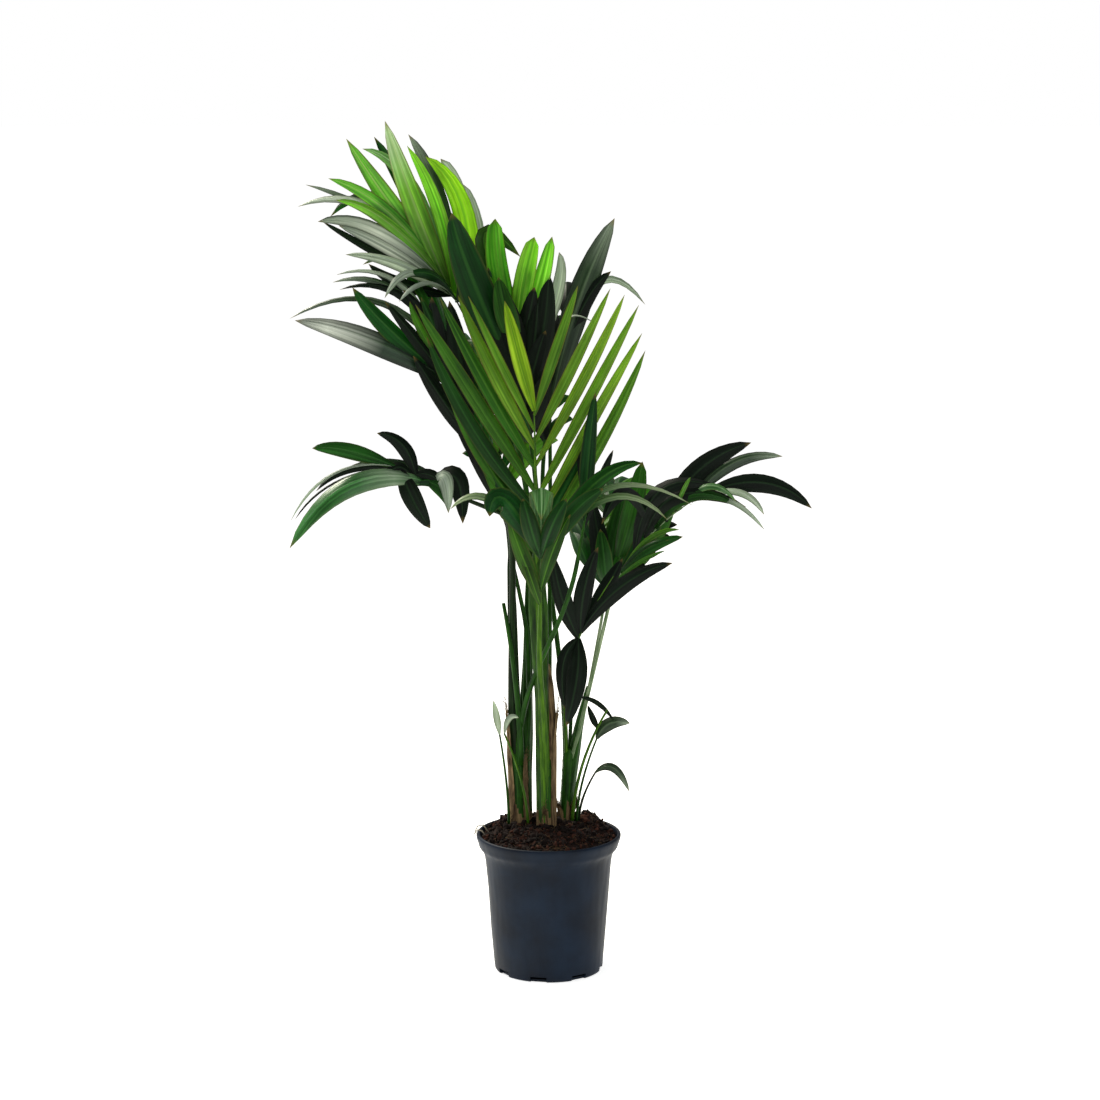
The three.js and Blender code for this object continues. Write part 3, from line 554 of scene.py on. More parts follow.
# The leaflets that have a place of their own: the place on the rib, the point that each arches over, its
# tip, width, turn and tint, and the fullness of its outline where that is blunt. The black ones are painted
# shade: dark leaflets set where the crown lies in shade.
DRAWN = {
    "front_tall": [
        (0.05, (-55, -50, 680), (-95, -50, 755), 20, 84, "mid"),
        (0.10, (-70, -50, 720), (-120, -50, 810), 22, 84, "deep"),
        (0.20, (-95, -50, 765), (-145, -50, 875), 22, 84, "mid"),
        (0.33, (-105, -60, 800), (-170, -55, 930), 22, 84, "deep"),
        (0.45, (-100, -65, 840), (-185, -60, 975), 22, 84, "mid"),
        (0.60, (-85, -75, 860), (-150, -75, 985), 20, 84, "mid"),
        (0.73, (-75, -85, 880), (-125, -90, 990), 19, 84, "sunny"),
        (0.85, (-65, -95, 895), (-110, -105, 990), 13, 84, "sunny"),
        (0.10, (70, -50, 775), (135, -50, 910), 18, 84, "mid"),
        (0.25, (60, -55, 810), (130, -60, 935), 16, 84, "sunny"),
        (0.40, (55, -65, 840), (125, -70, 975), 16, 84, "sunny"),
        (0.62, (50, -75, 875), (105, -80, 990), 16, 84, "sunny"),
        (0.78, (30, -90, 885), (85, -95, 1000), 16, 84, "sunny"),
        (0.95, (10, -100, 915), (40, -115, 1005), 16, 84, "sunny"),
        (0.98, (-40, -105, 905), (-60, -120, 985), 23, 84, "lime"),
        (0.15, (25, -45, 720), (60, -45, 785), 16, 84, "deep"),
    ],
    "front_low": [
        (0.93, (-60, -175, 715), (-80, -205, 700), 39, 72, "deep"),
        (0.95, (-80, -120, 710), (-135, -140, 700), 15, 40, "arc"),
        (1.00, (-10, -165, 725), (-10, -205, 695), 34, 0, "pale"),
        (0.88, (-25, -165, 680), (-35, -175, 720), 25, 84, "deep"),
        (0.88, (5, -165, 680), (25, -175, 720), 25, 84, "deep"),
        (0.90, (60, -125, 730), (130, -110, 760), 22, 70, "forest"),
        (0.90, (35, -140, 695), (75, -150, 730), 26, 75, "deep"),
        (0.90, (80, -115, 725), (200, -105, 700), 12, 45, "arc"),
        (0.85, (80, -110, 710), (165, -105, 680), 12, 45, "arc"),
        (0.48, (-35, -125, 630), (-55, -150, 690), 23, 80, "olive"),
        (0.53, (5, -140, 640), (30, -155, 695), 20, 80, "olive"),
        (0.40, (-25, -115, 600), (-40, -125, 645), 15, 80, "olive"),
    ],
    "left_arch": [
        (0.98, (-250, 10, 975), (-365, 0, 950), 15, 40, "dusk"),
        (0.78, (-250, -20, 920), (-355, -30, 950), 35, 55, "glared"),
        (0.78, (-215, -10, 925), (-275, -15, 995), 28, 60, "deep"),
        (0.70, (-175, -5, 905), (-230, -10, 975), 20, 65, "black"),
        (0.98, (-220, 15, 990), (-305, 15, 1000), 13, 40, "dusk"),
        (1.00, (-215, 20, 1000), (-300, 25, 1010), 12, 40, "grey"),
        (1.00, (-215, 10, 985), (-295, 10, 990), 12, 50, "black"),
        (0.65, (-150, 0, 900), (-165, 10, 980), 32, 80, "black"),
        (0.58, (-125, 0, 890), (-140, 5, 975), 32, 80, "black"),
        (0.73, (-175, -5, 925), (-195, -10, 975), 13, 70, "mid"),
        (0.85, (-165, 5, 935), (-205, 10, 990), 20, 70, "black"),
        (0.80, (-155, 0, 920), (-180, 5, 980), 18, 75, "deep"),
        (0.08, (-105, 5, 765), (-145, 5, 855), 26, 75, "black"),
        (0.23, (-115, 0, 790), (-155, -5, 885), 29, 75, "black"),
        (0.40, (-145, -15, 830), (-190, -25, 900), 26, 65, "black"),
    ],
    "top_left": [
        (0.93, (-215, 50, 1095), (-285, 40, 1200), 29, 80, "leafy"),
        (0.90, (-190, 45, 1105), (-230, 35, 1225), 32, 80, "hoary"),
        (0.83, (-155, 50, 1095), (-200, 50, 1190), 20, 80, "bright"),
        (0.80, (-155, 80, 1110), (-200, 90, 1205), 23, 70, "dusk"),
        (0.68, (-120, 70, 1090), (-175, 60, 1175), 31, 85, "vivid"),
        (0.60, (-120, 100, 1085), (-155, 110, 1170), 23, 75, "faded", 0.35),
        (0.58, (-100, 105, 1045), (-125, 115, 1135), 22, 75, "faded", 0.35),
        (0.90, (-195, 85, 1130), (-265, 80, 1185), 20, 70, "pale"),
        (0.90, (-225, 40, 1095), (-310, 30, 1145), 20, 75, "leafy"),
        (0.90, (-225, 35, 1080), (-300, 30, 1115), 18, 75, "leafy"),
        (0.90, (-230, 55, 1110), (-310, 50, 1090), 19, 60, "deep"),
        (0.90, (-235, 60, 1085), (-345, 60, 1135), 12, 60, "dusk"),
        (0.90, (-245, 45, 1100), (-355, 40, 1105), 19, 55, "grey"),
        (0.90, (-240, 30, 1070), (-325, 20, 1085), 23, 60, "streak"),
        (0.88, (-235, 40, 1035), (-320, 30, 1085), 15, 60, "black"),
        (0.90, (-210, 45, 1050), (-265, 40, 1080), 9, 60, "black"),
        (0.88, (-225, 25, 1045), (-295, 10, 1080), 20, 50, "streak"),
        (0.85, (-215, 15, 1025), (-285, 0, 1040), 22, 50, "faded"),
        (0.85, (-190, 0, 1015), (-230, -15, 980), 16, 30, "faded"),
        (0.80, (-170, -5, 1000), (-210, -20, 975), 15, 30, "faded"),
        (0.85, (-205, 30, 995), (-255, 30, 1025), 20, 60, "black"),
        (0.83, (-165, 5, 1010), (-200, 0, 1010), 18, 60, "deep"),
    ],
    "top_middle": [
        (0.95, (-90, 25, 1060), (-40, 30, 1035), 29, 75, "olive"),
        (0.90, (-70, 0, 1010), (-75, 5, 1090), 31, 88, "bright", 0.28),
        (0.95, (-35, -5, 1000), (-20, -5, 1065), 29, 88, "bright", 0.28),
        (0.80, (-15, 5, 985), (5, 5, 1065), 25, 86, "bright", 0.4),
        (0.38, (-10, 0, 925), (0, 5, 1015), 35, 86, "black"),
        (0.55, (10, 45, 975), (15, 55, 1040), 20, 75, "faded"),
        (0.38, (-100, -20, 990), (-135, -30, 1100), 50, 86, "deep"),
        (0.80, (-60, -25, 960), (-70, -25, 1010), 32, 86, "forest"),
        (0.25, (-70, -5, 905), (-120, -5, 995), 44, 85, "black"),
        (0.20, (-50, -5, 915), (-70, -5, 1000), 44, 85, "black"),
        (0.20, (-20, 0, 905), (-15, 0, 980), 32, 86, "black"),
    ],
    "top_right": [
        (0.62, (70, 125, 990), (140, 120, 960), 13, 60, "faded"),
        (0.30, (45, 100, 970), (95, 110, 1085), 39, 80, "dusk"),
        (0.78, (30, 80, 945), (70, 70, 935), 9, 20, "grey"),
        (0.10, (-10, 75, 875), (5, 80, 960), 29, 85, "black"),
        (0.10, (-20, 75, 860), (-25, 75, 955), 38, 85, "black"),
        (0.43, (45, 95, 950), (90, 95, 1010), 23, 80, "black"),
    ],
    "low_left": [
        (0.80, (-205, -50, 775), (-240, -60, 795), 22, 60, "black"),
        (1.00, (-280, -60, 770), (-330, -70, 775), 23, 70, "deep"),
        (0.53, (-200, -45, 745), (-275, -60, 750), 19, 60, "dusk"),
        (0.68, (-275, -95, 725), (-360, -110, 640), 34, 55, "sage"),
        (1.00, (-300, -75, 740), (-360, -85, 675), 6, 30, "faded"),
        (1.00, (-300, -60, 725), (-355, -75, 675), 6, 30, "black"),
        (0.93, (-275, -65, 745), (-325, -75, 715), 12, 50, "black"),
        (0.83, (-160, -50, 730), (-140, -60, 695), 19, 70, "black"),
        (0.95, (-190, -75, 705), (-165, -90, 665), 28, 70, "black"),
        (0.62, (-130, -60, 730), (-120, -80, 670), 32, 80, "black"),
        (0.62, (-145, -65, 730), (-140, -80, 685), 23, 74, "faded"),
        (0.73, (-150, -60, 715), (-140, -70, 690), 20, 70, "deep"),
        (0.85, (-215, -60, 745), (-230, -75, 720), 18, 60, "black"),
        (0.45, (-165, -50, 725), (-195, -60, 720), 18, 60, "deep"),
    ],
    "low_right": [
        (0.62, (215, 25, 730), (290, 30, 770), 32, 65, "black"),
        (0.88, (265, 25, 740), (335, 30, 750), 19, 60, "dusk"),
        (1.00, (305, 0, 715), (375, -5, 680), 28, 65, "black"),
        (0.95, (270, -20, 705), (305, -30, 675), 13, 40, "faded"),
        (0.88, (255, -30, 695), (305, -40, 655), 12, 40, "faded"),
        (0.75, (225, -30, 715), (265, -40, 695), 13, 40, "pale"),
        (0.40, (185, -20, 700), (280, -25, 685), 23, 60, "black"),
        (0.28, (160, -10, 705), (245, -15, 710), 25, 60, "black"),
        (0.53, (200, -25, 700), (265, -30, 690), 19, 50, "deep"),
        (0.70, (190, -35, 710), (200, -40, 730), 7, 60, "leafy"),
        (0.50, (110, -30, 705), (75, -50, 665), 22, 60, "black"),
        (0.12, (145, -20, 640), (185, -40, 655), 9, 60, "mid"),
        (0.08, (135, -20, 625), (170, -40, 640), 7, 60, "deep"),
        (0.00, (130, -20, 605), (165, -40, 625), 7, 60, "mid"),
        (0.08, (145, -20, 625), (190, -40, 645), 18, 60, "deep"),
        (0.12, (145, 20, 645), (155, 20, 690), 29, 80, "deep"),
    ],
    "small_right": [
        (0.15, (105, -45, 575), (175, -55, 610), 25, 60, "black"),
        (0.05, (20, -35, 555), (5, -40, 620), 26, 85, "black"),
        (0.12, (50, -35, 565), (70, -40, 630), 26, 85, "black"),
        (0.05, (40, -55, 440), (25, -60, 375), 28, 85, "black"),
        (0.05, (20, -45, 460), (25, -50, 395), 19, 85, "black"),
        (0.25, (80, -20, 565), (105, -20, 610), 22, 80, "black"),
    ],
    "mid_right": [
        (0.00, (140, 85, 610), (185, 80, 685), 36, 75, "forest"),
        (0.00, (115, 95, 615), (155, 95, 695), 35, 80, "forest"),
        (0.00, (95, 100, 615), (110, 110, 685), 32, 85, "deep"),
        (0.30, (120, 60, 660), (135, 50, 740), 31, 84, "forest", 0.45),
        (0.00, (75, 95, 610), (65, 95, 675), 29, 85, "black"),
        (0.00, (80, 60, 595), (75, 60, 640), 26, 85, "deep"),
    ],
    "slim": [
        (0.60, (55, -85, 765), (65, -85, 855), 22, 88, "deep"),
        (0.48, (70, -85, 725), (90, -85, 775), 13, 75, "black"),
        (0.73, (50, -60, 745), (40, -50, 790), 19, 80, "black"),
    ],
}

LEAF_PATCH = {tint: index for index, tint in enumerate(LEAVES)}  # each tint's place among the materials
STAGGER = 0.2  # share of the pairs' pitch by which one leaflet sits further on and the other further back
# How far chance moves a leaflet: its length, spread, lift, sag, width and place.
SCATTER = (0.05, 2.0, 4.0, 0.15, 0.06, 0.12)


def scatter_pairs(sheaf, frond, pairs, length, spread, lift, sag, wings, width, seed, tints):
    """Adds the leaflets that one rule lays out on a frond's rib, each a little off its neighbours' way."""
    chance = np.random.default_rng(seed)
    for i in range(pairs):
        for hand, wing in zip((-1, 1), wings):
            longer, wide, high, limp, broader, further = chance.normal(size=6) * SCATTER
            if not wing:
                continue
            t = min(1.0, max(0.0, (i + STAGGER * hand + further) / (pairs - 1)))
            reach = along(length, t) * wing * (1 + longer)
            angles = (along(spread, t) + wide, along(lift, t) + high, along(sag, t) * (1 + limp))
            slimness = min(1.0, 0.1 + 2 * wing)  # a stunted leaflet is slim as well as short
            breadth = width * slimness * (1 + broader)
            patch = LEAF_PATCH[tints[(2 * i + (hand > 0)) % len(tints)]]
            add_leaflet(sheaf, frond.leaflet(t, hand, reach, *angles), breadth, patch, i + hand)
    return pairs


def leaflets(name, frond):
    """All the leaflets of one frond in one piece, which stands for its blade."""
    sheaf = Sheaf()
    pairs = scatter_pairs(sheaf, frond, *PAIRS[name]) if name in PAIRS else 0
    for seed, row in enumerate(DRAWN.get(name, []), start=pairs):
        t, over, tip, width, turn, tint, *fullness = row
        add_leaflet(sheaf, frond.drawn(t, over, tip, turn), width, LEAF_PATCH[tint], seed, *fullness)
    sheaf.finish(f"leaflets_{name}", LEAVES.values(), "blade", f"blade_{name}")


STALK_SIDES = 10
STALK_STEPS = 26
STALK_TAPER = 0.3  # share of its thickness that a stalk loses by its collar
STALK_DEPTH = 0.8  # its depth as a share of its breadth
RIB_STEPS = 18
RIB_END = 0.55  # its radius at the frond's tip
RIDGE_DROP = 84  # how far down the stem its wrapped foot still shows as a ridge
RIDGE_STEPS = 7
RIDGE_THIN = 0.75  # how thin that ridge is at its lower end, as a share of the stalk


def stalk(name, palm, frond, radius, skin):
    """A frond's stalk and rib in one tapering piece, oval, with its foot running down the stem."""
    sheaf = Sheaf()
    points, radii = [], []
    for k in range(RIDGE_STEPS):
        share = k / RIDGE_STEPS
        drop = RIDGE_DROP * (1 - share)
        slide = stem_axis(palm, FORK_HEIGHT - drop) - stem_axis(palm, FORK_HEIGHT)
        points.append(frond.foot + slide)
        radii.append(radius * (RIDGE_THIN + (1 - RIDGE_THIN) * share))
    for k in range(STALK_STEPS):
        t = k / STALK_STEPS
        points.append(frond.stalk(t))
        radii.append(radius * (1 - STALK_TAPER * t))
    for k in range(RIB_STEPS + 1):
        t = k / RIB_STEPS
        points.append(frond.rib(t))
        radii.append(radius * (1 - STALK_TAPER) * (1 - t) + RIB_END * t)
    add_tube(sheaf, points, radii, STALK_SIDES, STALK_DEPTH)
    sheaf.finish(f"stalk_{name}_with_rib", [skin], "stalk", f"stalk_{name}")


# ---------------------------------------------------------------- stems and husks

STEM_SIDES = 40
STEM_ROWS = 56
STEM_FOOT = 206  # a little below the peat's surface
STEM_HEAD = 318
CLOSING_FROM = 305  # from here up the stem draws in to its top
RING_SCARS = (252, 270, 286, 300, 311)  # heights of the scars that fallen stalks left
SCAR_HALF = 1.6  # half a scar's height
SCAR_PROUD = 0.55  # how far a scar stands off the stem
STEM_FIBRES = ((5, 60, 0.9), (14, 25, 0.35))  # coarse and fine: how many round it, their length and depth
SHED_HEIGHT = 226  # the foot is dry and brown up to about here
SHED_RAGGED = 26  # how far that edge strays


def stem_radius(palm, height):
    share = min(max((height - SOIL_TOP) / (FORK_HEIGHT - SOIL_TOP), 0.0), 1.0)
    return palm["flare"] + (palm["neck"] - palm["flare"]) * math.sqrt(share)


def stem_axis(palm, height):
    share = (height - SOIL_TOP) / (FORK_HEIGHT - SOIL_TOP)
    base, fork = np.array(palm["base"]), np.array(palm["fork"])
    x, y = base + (fork - base) * share
    return np.array((x, y, float(height)))


def brown_the_foot(sheaf):
    """Deals the second material to the faces below a ragged edge near the peat."""
    for index, face in enumerate(sheaf.faces):
        x, y, z = sheaf.vertices[face[0]] / MM
        ragged = SHED_HEIGHT + SHED_RAGGED * noise.noise(Vector((x / 5, y / 5, 0.0)))
        sheaf.patches[index] = 1 if z < ragged else 0


def stem(name, palm):
    """A young palm's stem: ribbed by the stalk bases that wrap it, ringed with scars, brown at the foot."""
    sheaf = Sheaf()
    rows, uv = [], []
    for i in range(STEM_ROWS + 1):
        height = STEM_FOOT + (STEM_HEAD - STEM_FOOT) * i / STEM_ROWS
        centre = stem_axis(palm, height)
        plain = stem_radius(palm, height)
        scar = SCAR_PROUD * sum(math.exp(-(((height - h) / SCAR_HALF) ** 2)) for h in RING_SCARS)
        closing = 1 - 0.35 * max(0.0, (height - CLOSING_FROM) / (STEM_HEAD - CLOSING_FROM)) ** 2
        row, marks = [], []
        for k in range(STEM_SIDES):
            turn = 2 * math.pi * k / STEM_SIDES
            way = about(turn)
            radius = plain
            for count, tall, deep in STEM_FIBRES:
                radius += noise.noise(Vector((*(way[:2] * count), height / tall + plain))) * deep
            lobes = 0.5 * math.cos(3 * turn + height / 40)
            row.append(centre + way * (radius + lobes + scar) * closing)
            marks.append(np.array((2 * math.pi * plain * abs(k / STEM_SIDES - 0.5), height)))
        rows.append(row)
        uv.append(marks)
    sheaf.grid(rows, uv, loop=True, ends=(stem_axis(palm, STEM_FOOT), stem_axis(palm, STEM_HEAD)))
    brown_the_foot(sheaf)
    sheaf.finish(f"stem_{name}_ringed", [GREEN_RIND, HUSK], "stem", f"stem_{name}")


# Round and above the stems the feet of the stalks still wrap one another: each sheath's skin, its depth
# as a share of its breadth, and its middle, height and radius going up.
SHEATHS = {
    "left_outer": (DARK_RIND, 0.86, [
        (-44, 30, 206, 11.4), (-47, 27, 284, 11), (-48, 26, 340, 9.6), (-49, 24, 395, 8),
        (-51, 23, 466, 6.8), (-53, 21, 538, 6.2), (-55, 19, 590, 4.6), (-56, 18, 615, 2)]),
    "left_inner": (GREEN_RIND, 0.86, [
        (-33, 33, 206, 10), (-35, 31, 284, 10.6), (-33, 33, 340, 9.8), (-32, 38, 395, 8.4),
        (-30, 45, 466, 7), (-29, 56, 538, 5.6), (-29, 64, 600, 2.4)]),
    "left_crossing": (GREEN_RIND, 0.9, [
        (-33, 33, 290, 2), (-30, 27, 330, 3.4), (-28, 27, 372, 3.6), (-30, 31, 466, 3.4),
        (-32, 29, 495, 3.2), (-36, 26, 522, 3), (-45, 19, 567, 2.8), (-52, 14, 600, 2.6),
        (-57, 15, 640, 1)]),
    "middle": (WRAPPED_RIND, 0.62, [
        (-6, 3, 206, 10.8), (-8, 0, 284, 10.4), (-9, -3, 345, 9.6), (-10, -8, 400, 9.6),
        (-12.5, -18, 466, 11.6), (-15, -33, 538, 13.2), (-16.5, -42, 590, 11.4), (-16, -48, 632, 4.4)]),
    "middle_bright": (BRIGHT_RIND, 0.8, [
        (-6, -8, 206, 3.6), (-8, -7.6, 284, 3.6), (-10, -9, 345, 3.4), (-12, -13.4, 400, 3.6),
        (-13, -23.4, 466, 3.8), (-15, -38, 538, 4), (-16, -46, 590, 3)]),
    "middle_dry": (HUSK, 0.86, [
        (2, 5, 206, 10.4), (2, 4, 284, 9.6), (3, 3, 330, 8.4), (3, 2, 380, 7), (2, 2, 420, 5.2),
        (0, 3, 452, 2)]),
    "right": (GREEN_RIND, 0.86, [
        (27, 42, 206, 10), (28, 41.6, 247, 9.6), (33, 41, 280, 9), (38, 40, 313, 8), (43, 38, 347, 6.6),
        (50, 35, 380, 5), (57, 33, 413, 2.4)]),
}
SHEATH_ROWS = 56
SHEATH_SIDES = 36
FLUTES = ((3, 70, 0.07), (5, -45, 0.05))  # how many round a sheath, how they wind, and their depth


def sheath(name, skin, depth, path):
    """A bundle of wrapped stalk feet: fluted where one rounds the next, closed in among the stalks."""
    x, y, height, radius = np.array(path, float).T
    rows, uv = [], []
    for z in np.linspace(height[0], height[-1], SHEATH_ROWS):
        centre = np.array((np.interp(z, height, x), np.interp(z, height, y), z))
        plain = np.interp(z, height, radius)
        row, marks = [], []
        for k in range(SHEATH_SIDES):
            turn = 2 * math.pi * k / SHEATH_SIDES
            flutes = sum(deep * math.cos(count * turn + z / winds) for count, winds, deep in FLUTES)
            row.append(centre + about(turn, depth) * plain * (1 + flutes))
            marks.append(np.array((plain * min(turn, 2 * math.pi - turn), z)))
        rows.append(row)
        uv.append(marks)
    sheaf = Sheaf()
    sheaf.grid(rows, uv, loop=True, ends=[sum(rows[end]) / SHEATH_SIDES for end in (0, -1)])
    brown_the_foot(sheaf)
    sheaf.finish(f"sheath_{name}", [skin, HUSK], "stalk")


# Dry stalk bases that still cling to the stems: the palm, the way each faces, its breadth in degrees, how
# high it reaches, how far its torn top leans out and how far it stands off the stem.
HUSKS = [
    ("left", 188, 120, 398, 3, 2.4),
    ("left", 312, 46, 322, 4, 1.6),
    ("middle", -16, 66, 402, 8, 1.2),
    ("middle", 262, 40, 250, 4, 1.8),
    ("right", 225, 60, 240, 6, 1.4),
    ("right", 320, 60, 250, 6, 1.8),
    ("right", 80, 110, 300, 4, 1.4),
]
HUSK_ROWS = 26
HUSK_COLUMNS = 16
HUSK_LEAST = 30  # a husk's height where it is torn the furthest down
HUSK_TEAR = 26  # how far down a common tear goes, more at the edges
THREAD_REACH = (8, 26)  # a loose thread's shortest and longest reach


def husks():
    """Thin brown shells of fibre, torn at the top, with loose threads."""
    chance = np.random.default_rng(31)
    sheaf, threads = Sheaf(), Sheaf()
    for palm_name, facing, breadth, top, lean, proud in HUSKS:
        palm = PALMS[palm_name]
        tops = []
        for j in range(HUSK_COLUMNS + 1):
            tear = HUSK_TEAR * abs(chance.normal()) * (0.35 + abs(2 * j / HUSK_COLUMNS - 1))
            tops.append(max(top - tear, STEM_FOOT + HUSK_LEAST))
        rows, uv = [], []
        for i in range(HUSK_ROWS + 1):
            share = i / HUSK_ROWS
            row, marks = [], []
            for j in range(HUSK_COLUMNS + 1):
                height = STEM_FOOT + (tops[j] - STEM_FOOT) * share
                narrow = 1 - 0.45 * share**2
                turn = math.radians(facing + breadth * (j / HUSK_COLUMNS - 0.5) * narrow)
                ruck = noise.noise(Vector((turn * 6, height / 30, facing))) * 0.9
                radius = stem_radius(palm, height) + proud + ruck + lean * share**3
                axis = stem_axis(palm, min(height, FORK_HEIGHT))
                row.append(np.array((axis[0], axis[1], height)) + about(turn) * radius)
                marks.append(np.array((radius * turn, height)))
            rows.append(row)
            uv.append(marks)
        sheaf.grid(rows, uv)
        for root in rows[-1]:
            out = unit(root - stem_axis(palm, root[2]))
            reach = chance.uniform(*THREAD_REACH)
            curl = chance.normal(size=3)
            points = [root + out * reach * 0.35 * s**2 + UP * reach * (s - 0.8 * s**2) + curl * 2.5 * s * s
                      for s in np.linspace(0, 1, 6)]
            add_tube(threads, points, [0.35, 0.32, 0.28, 0.24, 0.2, 0.12], 4)
    sheaf.finish("dry_husks", [HUSK], "stem")
    threads.finish("husk_threads", [HUSK], "stem")


# ---------------------------------------------------------------- sprouts

# Each sprout: its foot, its stalk's end, the point that its leaf bends towards, the tip, and the leaf's
# width, tint and the stalk's skin.
SPROUTS = {
    "left": ((-58, 18), (-71, 14, 345), (-75, 13, 372), (-80, 12, 396), 9, "faded", GREEN_RIND),
    "crossing": ((-30, 8), (-64, 0, 350), (-60, -2, 384), (-43, -4, 374), 8, "faded", BRIGHT_RIND),
    "right": ((41, 27), (70, 20, 338), (84, 14, 372), (118, 14, 362), 17, "dusk", GREEN_RIND),
    "low": ((44, 34), (68, 10, 290), (96, 4, 318), (117, -2, 264), 11, "dusk", DARK_RIND),
}
SPROUT_STEPS = 12
SPROUT_SIDES = 8
SPROUT_FACE = 0.5 * UP + 0.87 * FRONT  # the way a sprout's leaf looks
SPROUT_FULL = 1.15  # how much wider it is than its flat blade
SPROUT_SEED = 3  # the same twist and streaks for each


def thin_stalk(root, bend, end, foot, top):
    """A sprout's stalk, which thins from the radius foot to the radius top."""
    sheaf = Sheaf()
    steps = np.linspace(0, 1, SPROUT_STEPS + 1)
    add_tube(sheaf, [arc(root, bend, end, s) for s in steps], foot + (top - foot) * steps, SPROUT_SIDES)
    return sheaf


def sprout(name, foot, end, over, tip, width, tint, skin):
    """A seedling leaf on a thin stalk of its own, folded along its midrib."""
    root, end, over, tip = spots((*foot, SOIL_TOP - 4), end, over, tip)
    bend = np.array((*foot, SOIL_TOP + 0.4 * (end[2] - SOIL_TOP)))
    stalk_part = thin_stalk(root, bend, end, 2.2, 1.4)
    stalk_part.finish(f"sprout_stalk_{name}_green", [skin], "sprout", f"sprout_stalk_{name}")
    curve = [arc(end, over, tip, s) for s in np.linspace(0, 1, LEAFLET_STEPS + 1)]
    ways = [unit(curve[min(k + 1, LEAFLET_STEPS)] - curve[max(k - 1, 0)]) for k in range(len(curve))]
    leaf_part = Sheaf()
    uppers = [squared(SPROUT_FACE, way) for way in ways]
    add_leaflet(leaf_part, (curve, uppers), width * SPROUT_FULL, 0, SPROUT_SEED)
    leaf_part.finish(f"sprout_leaf_{name}_folded", [LEAVES[tint]], "sprout", f"sprout_leaf_{name}")


# The right sprout's limp leaflets, which hang back towards the stems: root, point over, tip and width.
LIMP_LEAVES = (((94, 16, 366), (70, 20, 391), (42, 26, 398), 7.5),
               ((72, 16, 353), (64, 20, 368), (57, 26, 386), 9.5))


def limp_leaves():
    """The right sprout's two limp leaflets and the bare stalk that crosses its leaf."""
    sheaf = Sheaf()
    for *line, width in LIMP_LEAVES:
        root, over, tip = spots(*line)
        bend = bend_through(root, over, tip)
        curve = [arc(root, bend, tip, s) for s in np.linspace(0, 1, LEAFLET_STEPS + 1)]
        add_leaflet(sheaf, (curve, [FRONT] * len(curve)), width, 0, SPROUT_SEED)
    # The black tint here is painted shade.
    sheaf.finish("sprout_limp_leaves", [LEAVES["black"]], "sprout")
    bare = thin_stalk(*spots((34, 26, 206), (38, 22, 300), (85, 10, 383)), 2.8, 1.6)
    bare.finish("sprout_bare_stalk", [BRIGHT_RIND], "sprout")


# ---------------------------------------------------------------- pot and peat

# The pot's profile as radius and height: up its outside over the stacking ledge and the flared lip, then
# down the inside of its blown wall.
POT_OUTSIDE = [
    (75, 0), (77.5, 0.8), (78.6, 2.2), (79, 5), (83.7, 60), (88, 122), (90.6, 154), (91.6, 164), (92.8, 171),
    (94.6, 176), (97, 179.6), (99.2, 182), (100.6, 184.4), (101.4, 187), (102.2, 190),
    (103.4, 193), (104.6, 197), (105, 199.6), (104.6, 201.6), (103.4, 202.7), (101.8, 203),
]
POT_INSIDE = [
    (100.4, 202.4), (99.4, 200.6), (98.8, 197), (98, 183), (91, 177), (88.6, 160), (76.6, 6.5), (73.6, 3.5),
]
POT_SIDES = 144
DRAIN_SLOTS = 8
DRAIN_AT = 79  # how far from the pot's axis a slot is centred
DRAIN_SIZE = (14, 24, 17)  # its cutter, half of which is below the ground
FRONT_SLOT = -101  # the way the first slot faces, in degrees
SWELL = 0.9  # a thin blown wall is never quite round: it swells this far
SWELL_FROM = 8  # above its flat foot
SHARP = math.radians(38)  # edges sharper than this stay crisp


def deselect():
    bpy.ops.object.select_all(action="DESELECT")


